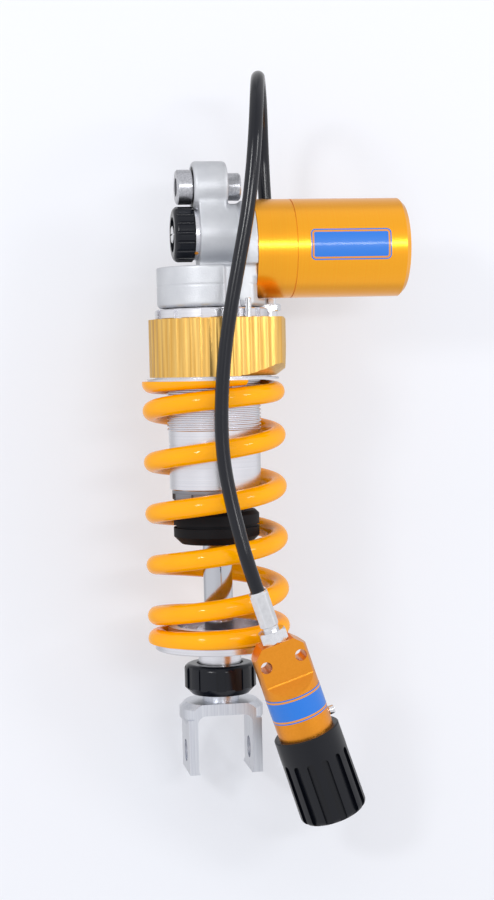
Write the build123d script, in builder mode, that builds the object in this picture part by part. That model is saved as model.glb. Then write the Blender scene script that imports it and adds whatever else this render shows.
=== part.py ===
# Rear shock absorber for a motorcycle, with a side reservoir and a remote spring preload adjuster.
#
# Frame: the origin is the centre of the top eye, +Z runs up the shock's axis away from the clevis,
# and +X runs along the eye's bolt towards the reservoir. Lengths are millimetres.

import os
from math import acos, ceil, cos, degrees, floor, pi, radians, sin, sqrt, tan

from build123d import *

os.makedirs("parts", exist_ok=True)

# Clearances and small sizes that several pieces share
seat_gap = 0.05            # between two fixed pieces, one inside the other
running_gap = 0.06         # between a sliding or turning piece and what guides it
loose_gap = 0.5            # between a moving piece and what it must not touch
overrun = 2.0              # how far a cutting solid runs past the face that it cuts
break_edge = 0.5           # a broken machined edge

# Places down the shock's axis, each a distance below the top eye
adjuster_drop = 25.5       # axis of the compression adjuster's barrel
reservoir_drop = 33.8      # axis of the reservoir
block_drop = 43.4          # top of the head's round block

# Head casting
eye_radius = 14.0
eye_width = 19.0
eye_round = 2.2
eye_inset = 1.2            # of the neck below it, from the eye's rim and faces
waist_radius = 20.0        # hollow between the eye and the barrel
barrel_radius = 17.0
barrel_left = 7.0          # barrel's open face, left of the shock's axis
block_wall = 4.5           # round block, outside the tube
block_height = 22.0
block_chamfer = 1.5
block_seam = 11.5          # parting line, above the block's underside
seam_width = 0.5
seam_depth = 0.35
recess_left = 3.6          # the block's front is cut back to the right of this
recess_depth = 7.5
recess_fillet = 3.0
web_depth = 8.0            # half depth of the web from the barrel to the block
flange_left = 14.4
flange_thickness = 8.0
flange_fillet = 3.0
spigot_length = 8.0
passage_radius = 4.0

# Top eye's bearing, seals and sleeve
bearing_radius = 11.0
bearing_width = 13.0
ball_radius = 8.4
ball_width = 14.4
bolt_radius = 5.0
left_spacer_radius = 9.5
left_reach = 18.0
right_spacer_radius = 7.5
right_reach = 17.0
spacer_neck_radius = 6.8
eye_seal_width = 1.6
spacer_chamfer = 0.8

# Damper body
tube_radius = 25.0
tube_wall = 2.0
tube_socket = 4.0          # how far the tube goes up into the head
tube_spigot = 12.0         # how far the head's threaded spigot goes down into the tube
tube_spigot_wall = 4.0
tube_below_housing = 61.3
thread_crest = 0.8         # how far the outside thread stands out of the tube
thread_pitch = 2.0
thread_below_housing = 29.7
step_below_thread = 6.5
step_width = 0.8
step_depth = 0.4

# Lock ring and preload jack
lock_gap = 0.8             # between the head and the lock ring
lock_ring_width = 5.0      # outside the thread
lock_ring_height = 5.2
lock_ring_notches = 12
notch_turn = 15.6
notch_width = 5.0
notch_depth = 1.8
housing_height = 31.3
port_x = 37.7              # hose port of the jack, at the right and behind
port_y = 33.0
port_boss_radius = 9.2
port_radius = 4.6
port_depth = 14.0
port_slope_rise = 19.0     # the underside slopes up, outside the spring, by this much at the port boss
front_corner_x = 26.5      # rounded corner of the housing, at the right and in front
front_corner_y = -22.5
front_corner_radius = 9.0
flute_count = 56
flute_radius = 6.0
flute_depth = 0.35
chamber_gap = 2.2          # ring chamber's inner wall, outside the thread
chamber_width = 4.0
chamber_depth = 22.0
jack_wall = 2.5
jack_skirt = 15.0
jack_gap = 0.9
jack_flange_width = 1.5    # outside the housing
jack_flange_height = 1.2
jack_seal_width = 1.8
jack_seal_depth = 1.2

# Coil spring
spring_length = 142.6
wire_radius = 5.25
coil_clearance = 2.7       # between the tube's thread and the coils
coil_gap = 0.5             # between the end coils, which lie closed
top_end_rise = 2.4         # the tips' centres lie this far past the ground faces
bottom_end_rise = 3.7
top_closed_turns_share = 0.92
bottom_closed_turns_share = 1.26
blend_turns_share = 0.35
open_turns_share = 3.95
top_tip_angle = -69.0
curves_per_turn = 4

# Shaft, piston and guide
shaft_radius = 8.0
shaft_bore = 3.6
shaft_step_radius = 6.0
guide_step = 1.1           # the guide's lip, inside the tube's outer face
guide_lip = 7.4
guide_notches = 6
guide_notch_turn = 2.0
guide_notch_width = 11.3
guide_notch_depth = 2.2
guide_notch_height = 5.4
guide_inside = 14.0        # how far the guide reaches up into the tube
bush_wall = 1.5
bush_length = 9.0
seal_wall = 3.4
seal_length = 3.0
top_out_gap = 1.2
shim_stack = 3.0
shim_count = 5
shim_large_radius = 15.0   # next to the piston
shim_small_radius = 8.5
piston_height = 12.0
piston_clearance = 0.4
band_height = 6.0
piston_port_radius = 2.6
piston_ports = 6
nut_height = 7.0
nut_across_flats = 17.0

# Bump rubber
bump_radius = 23.5
bump_height = 17.8
bump_below_guide = 4.5
bump_chamfer = 4.0
bump_groove = 1.5

# Lower spring seat
seat_collar_height = 8.5
seat_collar_wall = 5.0
seat_reach = 1.45          # plate, past the wire's centre line
seat_thickness = 4.0
seat_neck_radius = 11.8
seat_neck_height = 9.3

# Rebound adjuster on the clevis's neck
knob_below_seat = 8.5
knob_radius = 19.75
knob_height = 16.6
knob_round = 3.5
knob_chamfer = 4.0
knob_dish_gap = 1.0        # round the lower seat's neck
knob_dish_depth = 3.0
knob_above_clevis = 4.0
knob_flutes = 12
knob_flute_turn = 23.0
knob_flute_width = 5.0
knob_flute_depth = 0.9
neck_radius = 10.0
rod_radius = 3.0
cross_pin_radius = 1.5
cross_slot_rise = 2.5      # how far the cam can lift the cross pin
cam_radius = 14.5
cam_floor = 5.0
cam_gap = 0.3

# Clevis
crown_radius = 23.0
crown_top_drop = 27.2      # crown's top face, above the pin
crown_shoulder = 14.0
crown_taper = 4.9
crown_floor = 6.2
crown_chamfer = 3.0
clevis_depth = 31.0
fork_width = 40.0
ear_thickness = 5.0
ear_below_pin = 11.0
fork_fillet = 4.7
pin_radius = 6.0

# Reservoir
reservoir_radius = 27.0
reservoir_bore = 23.0
reservoir_length = 84.2
reservoir_groove_place = 21.0
reservoir_groove = 0.6
reservoir_chamfer = 2.6
float_place = 36.0         # floating piston's near face, from the flange
float_length = 16.0
float_dish = 8.0
ring_section = 1.3
cap_recess = 4.0
cap_length = 8.0
clip_width = 1.4
clip_wall = 3.0
valve_radius = 4.0
valve_height = 5.0

# Compression adjuster
cartridge_radius = 9.0
cartridge_length = 20.0
cartridge_set_back = 2.0
collar_radius = 14.0
collar_width = 2.7
comp_knob_radius = 15.0
comp_knob_width = 10.5
comp_knob_round = 3.0
comp_dish_radius = 9.5
comp_dish_depth = 1.2
comp_flutes = 18
comp_flute_radius = 1.1
comp_screw_radius = 4.6
comp_screw_height = 1.6
comp_slot = 0.8
spindle_radius = 3.0
needle_radius = 1.6
needle_length = 7.0
needle_gap = 0.5

# Hose, its fitting on the jack and its crimped ends
hose_radius = 3.7
corner_share = 0.45        # of the shorter run beside a corner of the hose's route, taken by its arc
line_radius = 1.5          # drillings of the hydraulic line
fitting_hex = 12.0
fitting_hex_height = 4.2
fitting_thread_height = 4.2
fitting_neck_radius = 4.0
fitting_neck_height = 3.0
crimp_radius = 5.0
crimp_flat = 4.55          # the six pressed flats, from the crimp's axis
crimp_rim = 1.6
crimp_length = 19.6
crimp_chamfer = 0.6
bleed_radius = 1.7
bleed_height = 10.2
bleed_x = 15.6
bleed_gap = 0.254          # between the lock ring and the bleed screw

# Remote preload adjuster: where its hose end lies, how it leans, and its sizes
remote_x = 21.8
remote_y = -52.0
remote_drop = 241.7
lean_right = 18.4
lean_back = 4.0
remote_radius = 14.9
remote_length = 53.4
remote_thickness = 15.0
remote_flat_length = 21.0
remote_ramp = 6.4
remote_ramp_fillet = 1.6    # at the root of the ramp
remote_corner = 6.0
remote_hole_spacing = 19.3
remote_hole_radius = 3.1
remote_hole_drop = 9.9
remote_bore = 10.0
remote_bore_length = 21.0
remote_nut = 14.0
remote_nut_height = 6.4
remote_nut_neck = 2.3
remote_nut_neck_radius = 4.3
remote_knob_radius = 17.8
remote_knob_taper = 0.4    # wider at the far end
remote_knob_length = 48.2
remote_knob_collar = 13.0
remote_knob_overlap = 2.0
remote_knob_wall = 4.5
remote_knob_end = 5.0
remote_knob_round = 3.5
remote_flutes = 14
remote_flute_turn = -5.3
remote_flute_radius = 1.95
remote_flute_depth = 1.7
remote_screw_radius = 2.4
remote_screw_head = 3.0
remote_screw_shank = 1.4
remote_screw_grip = 3.0
remote_screw_up = 7.5
remote_piston_length = 6.0
remote_stem_radius = 6.5
remote_stem_length = 30.0
spindle_thread_radius = 4.0

# Route of the hose from the crimp on the jack to the crimp on the remote adjuster, chosen by hand
hose_route = [
    (37.7, 33.0, -40.4),
    (37.7, 33.0, -22.0),
    (36.6, 33.6, 1.0),
    (35.9, 33.2, 26.0),
    (33.8, 22.6, 47.2),
    (29.8, 4.0, 57.8),
    (25.6, -17.0, 57.6),
    (21.8, -35.4, 46.6),
    (18.9, -46.4, 27.6),
    (16.6, -48.6, 6.0),
    (13.4, -48.9, -17.0),
    (8.9, -48.5, -39.5),
    (4.2, -48.2, -62.0),
    (0.3, -48.0, -84.0),
    (-2.2, -48.1, -106.0),
    (-3.4, -48.5, -128.0),
    (-2.6, -49.6, -148.5),
    (0.6, -51.2, -168.0),
    (4.6, -53.4, -186.6),
    (8.17, -55.02, -200.72),
    (12.89, -53.98, -214.91),
]

# Radii that follow the damper tube's
tube_bore = tube_radius - tube_wall
block_radius = tube_radius + block_wall
guide_radius = tube_radius - guide_step
thread_radius = tube_radius + thread_crest
lock_ring_radius = thread_radius + lock_ring_width
chamber_inner = thread_radius + chamber_gap
chamber_outer = chamber_inner + chamber_width
housing_radius = chamber_outer + jack_wall
jack_flange_radius = housing_radius + jack_flange_width
coil_radius = thread_radius + coil_clearance + wire_radius
seat_collar_radius = coil_radius - wire_radius - loose_gap
seat_radius = coil_radius + seat_reach

# Levels, as heights in the part's frame
block_top = -block_drop
block_bottom = block_top - block_height
ring_bottom = block_bottom - lock_gap - lock_ring_height
housing_bottom = ring_bottom - housing_height
jack_flange_top = housing_bottom - jack_gap
spring_top = jack_flange_top - jack_flange_height
spring_bottom = spring_top - spring_length
tube_top = block_bottom + tube_socket
tube_bottom = housing_bottom - tube_below_housing
thread_bottom = housing_bottom - thread_below_housing
guide_bottom = tube_bottom - guide_lip
bump_top = guide_bottom - bump_below_guide
seat_bottom = spring_bottom - seat_thickness
knob_top = seat_bottom - knob_below_seat
knob_bottom = knob_top - knob_height
crown_top = knob_bottom - knob_above_clevis
fork_floor = crown_top - crown_floor
pin_height = crown_top - crown_top_drop
flange_right = flange_left + flange_thickness
reservoir_right = flange_right + reservoir_length


def level(height):
    """A level plane at this height, facing up."""
    return Plane.XY.offset(height)


def across(x, height):
    """A plane that faces along +X, centred on the line at this height."""
    return Plane(origin=(x, 0, height), x_dir=(0, 1, 0), z_dir=(1, 0, 0))


def disc(plane, radius, height, bore=0, mode=Mode.ADD):
    """A round block or ring on a plane, added to the part that is being made."""
    with BuildSketch(plane) as outline:
        Circle(radius)
        if bore:
            Circle(bore, mode=Mode.SUBTRACT)
    extrude(outline.sketch, amount=height, mode=mode)


def block(plane, width, depth, height, mode=Mode.ADD):
    """A block on a plane, added to the part that is being made."""
    with BuildSketch(plane) as outline:
        Rectangle(width, depth)
    extrude(outline.sketch, amount=height, mode=mode)


def flutes(plane, circle, radius, count, height, first=0.0, mode=Mode.SUBTRACT):
    """Evenly spaced round grooves down the outside of a round part."""
    with BuildSketch(plane) as outline:
        with PolarLocations(circle, count, start_angle=first):
            Circle(radius)
    extrude(outline.sketch, amount=height, mode=mode)


def hexagon(plane, across_flats, height, turn=0.0):
    """A hexagon on a plane with its corners bevelled, added to the part that is being made."""
    corner_radius = across_flats / sqrt(3)
    with BuildPart() as nut:
        disc(plane, corner_radius, height)
        chamfer(nut.edges().filter_by(GeomType.CIRCLE), corner_radius - across_flats / 2)
        with BuildSketch(plane) as outline:
            RegularPolygon(across_flats / 2, 6, major_radius=False, rotation=turn)
        extrude(outline.sketch, amount=height, mode=Mode.INTERSECT)
    add(nut.part)


def crimp(plane, length):
    """A crimped sleeve that starts at the hose with a round rim, and then has six pressed flats."""
    with BuildPart() as sleeve:
        disc(plane, crimp_radius, length)
        chamfer(sleeve.edges().filter_by(GeomType.CIRCLE), crimp_chamfer)
        with BuildSketch(plane.offset(crimp_rim)) as pressed:
            Circle(crimp_radius + overrun)
            RegularPolygon(crimp_flat, 6, major_radius=False, mode=Mode.SUBTRACT)
        extrude(pressed.sketch, amount=length, mode=Mode.SUBTRACT)
    add(sleeve.part)


# Head casting with the eye, the adjuster's barrel, the reservoir flange and the round block
with BuildPart() as shock_head:
    disc(across(-eye_width / 2, 0), eye_radius, eye_width)
    fillet(shock_head.edges().filter_by(GeomType.CIRCLE), eye_round)
    # The eye and the barrel flow into each other through a hollow at the front and one at the back: a kite
    # joins the four circles' centres, and the outer two circles are cut out of it
    eye_outline = eye_radius - eye_inset
    to_eye = eye_outline + waist_radius
    to_barrel = barrel_radius + waist_radius
    waist_drop = (adjuster_drop**2 + to_eye**2 - to_barrel**2) / (2 * adjuster_drop)
    waist_y = sqrt(to_eye**2 - waist_drop**2)
    with BuildSketch(across(-barrel_left, 0)) as neck:
        with BuildLine():
            Polyline((0, 0), (waist_y, -waist_drop), (0, -adjuster_drop), (-waist_y, -waist_drop), close=True)
        make_face()
        with Locations((waist_y, -waist_drop), (-waist_y, -waist_drop)):
            Circle(waist_radius, mode=Mode.SUBTRACT)
        Circle(eye_outline)
        with Locations((0, -adjuster_drop)):
            Circle(barrel_radius)
    extrude(neck.sketch, amount=barrel_left + eye_width / 2 - eye_inset)
    disc(across(-barrel_left, -adjuster_drop), barrel_radius, barrel_left + flange_left)
    with BuildSketch(Plane.XZ.offset(-web_depth)) as web:
        with BuildLine():
            Polyline(
                (-barrel_left, -adjuster_drop),
                (-barrel_left, block_top - seam_width),
                (flange_right, block_top - seam_width),
                (flange_right, -adjuster_drop),
                close=True,
            )
        make_face()
    extrude(web.sketch, amount=2 * web_depth)
    disc(across(flange_left, -reservoir_drop), reservoir_radius, flange_thickness)
    fillet(
        shock_head.edges().filter_by(GeomType.CIRCLE).filter_by(
            lambda e: abs(e.radius - reservoir_radius) < seat_gap and e.center().X < flange_left + seat_gap
        ),
        flange_fillet,
    )
    disc(level(block_bottom), block_radius, block_height)
    chamfer(
        shock_head.faces().filter_by(Plane.XY).sort_by(Axis.Z)[0].edges().filter_by(GeomType.CIRCLE),
        block_chamfer,
    )
    # The front right of the block is cut back
    recess_width = block_radius + overrun - recess_left
    with BuildSketch(level(block_bottom - overrun)) as recess:
        with Locations((recess_left + recess_width / 2, -block_radius)):
            Rectangle(recess_width, 2 * recess_depth)
        fillet(recess.vertices().group_by(Axis.X)[0].sort_by(Axis.Y)[-1], recess_fillet)
    extrude(recess.sketch, amount=block_height + overrun + seam_width, mode=Mode.SUBTRACT)
    # Beside the reservoir, nothing of the block stands past the flange's face
    trim_height = 2 * (reservoir_radius + loose_gap)
    block(across(flange_right, -reservoir_drop), 4 * block_radius, trim_height, block_radius,
          mode=Mode.SUBTRACT)
    disc(level(block_bottom), tube_bore - seat_gap, -tube_spigot)
    disc(level(block_bottom + block_seam), block_radius + overrun, seam_width,
         bore=block_radius - seam_depth, mode=Mode.SUBTRACT)
    disc(across(flange_right, -reservoir_drop), reservoir_bore - seat_gap, spigot_length)
    # Bores: the eye, the adjuster's barrel, the oil passages and the tube's socket
    disc(across(-eye_width, 0), bearing_radius, 2 * eye_width, mode=Mode.SUBTRACT)
    disc(across(-barrel_left - overrun, -adjuster_drop), cartridge_radius,
         cartridge_length + overrun, mode=Mode.SUBTRACT)
    disc(across(-barrel_left, -adjuster_drop), passage_radius,
         barrel_left + flange_right + spigot_length + overrun, mode=Mode.SUBTRACT)
    disc(level(block_bottom), tube_radius + seat_gap, tube_socket, bore=tube_bore - seat_gap,
         mode=Mode.SUBTRACT)
    disc(level(block_bottom - tube_spigot - overrun), tube_bore - tube_spigot_wall,
         tube_spigot + tube_socket + overrun, mode=Mode.SUBTRACT)
    disc(level(tube_top), passage_radius, -adjuster_drop - tube_top, mode=Mode.SUBTRACT)
    # The collar of the compression adjuster sits against the barrel, let into the side of the eye
    disc(across(-barrel_left, -adjuster_drop), collar_radius + loose_gap, -eye_width, mode=Mode.SUBTRACT)
shock_head.part.label = "shock_head"
export_step(shock_head.part, "parts/shock_head.step")

# Top eye: the outer bearing ring, the sleeve with its ball, the spacers and the two rubber seals
with BuildPart() as eye_bearing:
    disc(across(-bearing_width / 2, 0), bearing_radius - seat_gap, bearing_width,
         bore=ball_radius + running_gap)
    chamfer(eye_bearing.edges().filter_by(GeomType.CIRCLE), break_edge)
eye_bearing.part.label = "eye_bearing"
export_step(eye_bearing.part, "parts/eye_bearing.step")

with BuildPart() as eye_sleeve:
    disc(across(-ball_width / 2, 0), ball_radius, ball_width, bore=bolt_radius)
eye_sleeve.part.label = "eye_sleeve"
export_step(eye_sleeve.part, "parts/eye_sleeve.step")


def eye_spacer(side, reach, radius):
    """One spacer, on the left (-1) or right (1) of the eye."""
    shoulder = eye_width / 2 + loose_gap
    with BuildPart() as spacer:
        disc(across(side * ball_width / 2, 0), spacer_neck_radius, side * (shoulder - ball_width / 2))
        disc(across(side * shoulder, 0), radius, side * (reach - shoulder))
        chamfer(spacer.faces().sort_by(Axis.X)[0 if side < 0 else -1].edges(), spacer_chamfer)
        disc(across(side * (reach + overrun), 0), bolt_radius, -side * (reach + 2 * overrun),
             mode=Mode.SUBTRACT)
    return spacer.part


left_spacer = eye_spacer(-1, left_reach, left_spacer_radius)
left_spacer.label = "left_spacer"
export_step(left_spacer, "parts/left_spacer.step")

right_spacer = eye_spacer(1, right_reach, right_spacer_radius)
right_spacer.label = "right_spacer"
export_step(right_spacer, "parts/right_spacer.step")

with BuildPart() as eye_seals:
    for side in (-1, 1):
        disc(across(side * (ball_width / 2 + loose_gap / 2), 0), bearing_radius - seat_gap,
             side * eye_seal_width, bore=spacer_neck_radius + running_gap)
eye_seals.part.label = "eye_seals"
export_step(eye_seals.part, "parts/eye_seals.step")


# Damper tube: plain below, threaded outside for the lock ring and the jack
with BuildPart() as damper_tube:
    with BuildSketch(Plane.XZ) as wall:
        with BuildLine():
            thread_length = block_bottom - thread_bottom
            threads = ceil(thread_length / thread_pitch)
            pitch = thread_length / threads
            points = [(tube_bore, tube_top), (tube_radius, tube_top), (tube_radius, block_bottom)]
            for turn in range(threads):
                start = block_bottom - turn * pitch
                points += [(thread_radius, start - pitch / 4), (thread_radius, start - pitch / 2)]
                points += [(tube_radius, start - 3 * pitch / 4), (tube_radius, start - pitch)]
            step_top = thread_bottom - step_below_thread
            points += [
                (tube_radius, step_top),
                (tube_radius - step_depth, step_top),
                (tube_radius - step_depth, step_top - step_width),
                (tube_radius, step_top - step_width),
                (tube_radius, tube_bottom + break_edge),
                (tube_radius - break_edge, tube_bottom),
                (tube_bore, tube_bottom),
            ]
            Polyline(*points, close=True)
        make_face()
    revolve(wall.sketch, axis=Axis.Z)
damper_tube.part.label = "damper_tube"
export_step(damper_tube.part, "parts/damper_tube.step")

# Lock ring with spanner notches
with BuildPart() as lock_ring:
    disc(level(ring_bottom), lock_ring_radius, lock_ring_height, bore=thread_radius + seat_gap)
    chamfer(
        lock_ring.faces().filter_by(Plane.XY).edges().filter_by(
            lambda e: e.geom_type == GeomType.CIRCLE and e.radius > lock_ring_radius - break_edge
        ),
        break_edge,
    )
    with BuildSketch(level(ring_bottom - overrun)) as notches:
        with PolarLocations(lock_ring_radius, lock_ring_notches, start_angle=notch_turn):
            Rectangle(2 * notch_depth, notch_width)
    extrude(notches.sketch, amount=lock_ring_height + 2 * overrun, mode=Mode.SUBTRACT)
lock_ring.part.label = "lock_ring"
export_step(lock_ring.part, "parts/lock_ring.step")


def outward(rim, share):
    """The way out of a closed outline round the shock's axis, at this share of its length."""
    out = rim.tangent_at(share).cross(Vector(0, 0, 1))
    return out if out.dot(rim.position_at(share)) > 0 else -out


# Preload jack's housing: a round body drawn out to a corner in front and to a port boss behind
with BuildPart() as preload_housing:
    with BuildSketch(level(housing_bottom)) as outline:
        Circle(housing_radius)
        with Locations((port_x, port_y)):
            Circle(port_boss_radius)
        with Locations((front_corner_x, front_corner_y)):
            Circle(front_corner_radius)
        make_hull()
    extrude(outline.sketch, amount=housing_height)
    # Shallow upright flutes all round
    rim = outline.sketch.faces()[0].outer_wire()
    centres = []
    for n in range(flute_count):
        share = n / flute_count
        centre = rim.position_at(share) + outward(rim, share) * (flute_radius - flute_depth)
        centres.append((centre.X, centre.Y))
    with BuildSketch(level(housing_bottom - overrun)) as scallops:
        with Locations(*centres):
            Circle(flute_radius)
    extrude(scallops.sketch, amount=housing_height + 2 * overrun, mode=Mode.SUBTRACT)
    # Outside the spring, the underside slopes up as a cone
    port_reach = sqrt(port_x**2 + port_y**2)
    boss_reach = port_reach + port_boss_radius
    with BuildSketch(Plane.XZ) as wedge:
        with BuildLine():
            Polyline(
                (housing_radius, housing_bottom - overrun),
                (housing_radius, housing_bottom),
                (boss_reach + overrun, housing_bottom + port_slope_rise),
                (boss_reach + overrun, housing_bottom - overrun),
                close=True,
            )
        make_face()
    revolve(wedge.sketch, axis=Axis.Z, mode=Mode.SUBTRACT)
    disc(level(housing_bottom - overrun), thread_radius + seat_gap, housing_height + 2 * overrun,
         mode=Mode.SUBTRACT)
    disc(level(housing_bottom - overrun), chamber_outer, chamber_depth + overrun, bore=chamber_inner,
         mode=Mode.SUBTRACT)
    # Port for the hose fitting, and the drilling from its foot to the ring chamber
    port_foot = ring_bottom - port_depth
    with BuildSketch(level(port_foot)) as port:
        with Locations((port_x, port_y)):
            Circle(port_radius + seat_gap)
    extrude(port.sketch, amount=port_depth + overrun, mode=Mode.SUBTRACT)
    inward = Plane(origin=(port_x, port_y, port_foot + line_radius), z_dir=(-port_x, -port_y, 0))
    disc(inward, line_radius, port_reach - chamber_outer + seat_gap, mode=Mode.SUBTRACT)
preload_housing.part.label = "preload_housing"
export_step(preload_housing.part, "parts/preload_housing.step")

# Jack piston: a skirt in the housing's ring chamber and the flange that the spring bears on
with BuildPart() as preload_piston:
    skirt_inner = chamber_inner + running_gap
    skirt_outer = chamber_outer - running_gap
    skirt_top = jack_flange_top + jack_skirt
    with BuildSketch(Plane.XZ) as profile:
        with BuildLine():
            Polyline(
                (thread_radius + loose_gap, spring_top),
                (jack_flange_radius, spring_top),
                (jack_flange_radius, jack_flange_top),
                (skirt_outer, jack_flange_top),
                (skirt_outer, skirt_top - 2 * jack_seal_width),
                (skirt_outer - jack_seal_depth, skirt_top - 2 * jack_seal_width),
                (skirt_outer - jack_seal_depth, skirt_top - jack_seal_width),
                (skirt_outer, skirt_top - jack_seal_width),
                (skirt_outer, skirt_top),
                (skirt_inner, skirt_top),
                (skirt_inner, jack_flange_top),
                (thread_radius + loose_gap, jack_flange_top),
                close=True,
            )
        make_face()
    revolve(profile.sketch, axis=Axis.Z)
preload_piston.part.label = "preload_piston"
export_step(preload_piston.part, "parts/preload_piston.step")

with BuildPart() as jack_seal:
    disc(level(skirt_top - 2 * jack_seal_width + seat_gap), skirt_outer, jack_seal_width - 2 * seat_gap,
         bore=skirt_outer - jack_seal_depth + seat_gap)
jack_seal.part.label = "jack_seal"
export_step(jack_seal.part, "parts/jack_seal.step")

# Coil spring: closed ends, ground flat, open turns between. The wire's centre falls with each turn
# by a pitch that blends from the closed one to the open one over a short stretch.
closed_pitch = 2 * wire_radius + coil_gap
closed_turns = top_closed_turns_share + bottom_closed_turns_share
open_pitch = (
    (spring_length + top_end_rise + bottom_end_rise - (closed_turns + blend_turns_share) * closed_pitch)
    / (open_turns_share + blend_turns_share)
)
all_turns = closed_turns + 2 * blend_turns_share + open_turns_share


def coil_drop(turns):
    """How far the wire's centre lies below its top tip after this many turns."""
    extra = open_pitch - closed_pitch
    drop = closed_pitch * turns
    for place, sign in (
        (top_closed_turns_share, 1),
        (top_closed_turns_share + blend_turns_share + open_turns_share, -1),
    ):
        past = turns - place
        if past > blend_turns_share:
            drop += sign * extra * (past - blend_turns_share / 2)
        elif past > 0:
            drop += sign * extra * past**2 / (2 * blend_turns_share)
    return drop


def coil_point(turns):
    """A point on the wire's centre line."""
    angle = radians(top_tip_angle) - 2 * pi * turns
    height = spring_top + top_end_rise - coil_drop(turns)
    return Vector(coil_radius * cos(angle), coil_radius * sin(angle), height)


def coil_direction(turns):
    """The wire's direction there, downwards."""
    step = 1 / (360 * curves_per_turn)
    return (coil_point(turns + step) - coil_point(turns - step)).normalized()


def biarc(start, start_way, end, end_way):
    """Two arcs that join two points, tangent to both directions and to each other."""
    chord = end - start
    both = start_way + end_way
    a = 2 * (start_way.dot(end_way) - 1)
    b = -2 * chord.dot(both)
    c = chord.dot(chord)
    reach = (-b - sqrt(b * b - 4 * a * c)) / (2 * a)
    middle = (start + end + (start_way - end_way) * reach) / 2
    middle_way = ((end - end_way * reach) - (start + start_way * reach)).normalized()
    TangentArc(start, middle, tangent=start_way)
    TangentArc(middle, end, tangent=middle_way)


with BuildPart() as spring:
    spans = ceil(all_turns * curves_per_turn)
    stations = [all_turns * n / spans for n in range(spans + 1)]
    with BuildLine() as wire_path:
        for first, last in zip(stations, stations[1:]):
            biarc(coil_point(first), coil_direction(first), coil_point(last), coil_direction(last))
    with BuildSketch(Plane(origin=coil_point(0), z_dir=coil_direction(0))) as wire:
        Circle(wire_radius)
    sweep(wire.sketch, path=wire_path.wire())
    # Both ends are ground flat
    with BuildSketch(level(spring_bottom)) as ground:
        Circle(coil_radius + 2 * wire_radius)
    extrude(ground.sketch, amount=spring_length, mode=Mode.INTERSECT)
spring.part.label = "spring"
export_step(spring.part, "parts/spring.step")

# The least gap between the wire and itself, more than half a turn apart
samples_per_turn = 96
samples = [coil_point(n / samples_per_turn) for n in range(floor(all_turns * samples_per_turn) + 1)]
least = min(
    (a - b).length
    for i, a in enumerate(samples)
    for b in samples[i + samples_per_turn // 2:]
)
print(f"spring: open pitch {open_pitch:.2f}, turns {all_turns:.2f}, least gap {least - 2 * wire_radius:.2f}")

# Shaft guide that closes the tube, its bush and the shaft's seals
guide_top = tube_bottom + guide_inside
with BuildPart() as shaft_guide:
    disc(level(guide_bottom), guide_radius, guide_lip)
    chamfer(shaft_guide.faces().sort_by(Axis.Z)[0].edges(), guide_notch_depth)
    disc(level(tube_bottom), tube_bore - seat_gap, guide_inside)
    with BuildSketch(level(guide_bottom - overrun)) as notches:
        with PolarLocations(guide_radius, guide_notches, start_angle=guide_notch_turn):
            Rectangle(2 * guide_notch_depth, guide_notch_width)
    extrude(notches.sketch, amount=overrun + guide_notch_height, mode=Mode.SUBTRACT)
    disc(level(guide_bottom - overrun), shaft_radius + loose_gap, guide_lip + guide_inside + 2 * overrun,
         mode=Mode.SUBTRACT)
    disc(level(guide_top - bush_length), shaft_radius + bush_wall + seat_gap, bush_length + overrun,
         mode=Mode.SUBTRACT)
    disc(level(guide_bottom - overrun), shaft_radius + seal_wall + seat_gap, 2 * seal_length + overrun,
         mode=Mode.SUBTRACT)
shaft_guide.part.label = "shaft_guide"
export_step(shaft_guide.part, "parts/shaft_guide.step")

with BuildPart() as shaft_bush:
    disc(level(guide_top - bush_length), shaft_radius + bush_wall, bush_length,
         bore=shaft_radius + running_gap)
shaft_bush.part.label = "shaft_bush"
export_step(shaft_bush.part, "parts/shaft_bush.step")

with BuildPart() as shaft_seal:
    disc(level(guide_bottom + seal_length), shaft_radius + seal_wall, seal_length,
         bore=shaft_radius + running_gap)
shaft_seal.part.label = "shaft_seal"
export_step(shaft_seal.part, "parts/shaft_seal.step")

with BuildPart() as dust_wiper:
    disc(level(guide_bottom + break_edge), shaft_radius + seal_wall, seal_length - break_edge,
         bore=shaft_radius + running_gap)
dust_wiper.part.label = "dust_wiper"
export_step(dust_wiper.part, "parts/dust_wiper.step")

# Piston assembly on the shaft's upper end, from the bottom up
stack_bottom = guide_top + top_out_gap
piston_bottom = stack_bottom + shim_stack
piston_top = piston_bottom + piston_height
nut_bottom = piston_top + shim_stack
shaft_top = nut_bottom + nut_height + 2 * break_edge
shaft_end = crown_top - crown_floor / 2

with BuildPart() as damper_shaft:
    disc(level(shaft_end), shaft_radius, stack_bottom - shaft_end)
    disc(level(stack_bottom), shaft_step_radius, shaft_top - stack_bottom)
    chamfer(damper_shaft.faces().sort_by(Axis.Z)[-1].edges(), break_edge)
    disc(level(shaft_end - overrun), shaft_bore, shaft_top - shaft_end + 2 * overrun, mode=Mode.SUBTRACT)
    # Slot through which the rebound adjuster's cross pin moves
    cross_pin_height = knob_bottom + cam_floor + cam_gap + cross_pin_radius
    slot_width = 2 * (cross_pin_radius + running_gap)
    with BuildSketch(Plane.YZ) as slot:
        with Locations((0, cross_pin_height + cross_slot_rise / 2)):
            Rectangle(slot_width, cross_slot_rise + slot_width)
    extrude(slot.sketch, amount=shaft_radius + overrun, both=True, mode=Mode.SUBTRACT)
damper_shaft.part.label = "damper_shaft"
export_step(damper_shaft.part, "parts/damper_shaft.step")


def shim_pack(bottom, first_radius, last_radius):
    """A stack of thin shims, from the lowest one up."""
    thickness = shim_stack / shim_count
    with BuildPart() as pack:
        for n in range(shim_count):
            radius = first_radius + (last_radius - first_radius) * n / (shim_count - 1)
            disc(level(bottom + n * thickness), radius, thickness, bore=shaft_step_radius + seat_gap)
    return pack.part


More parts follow.
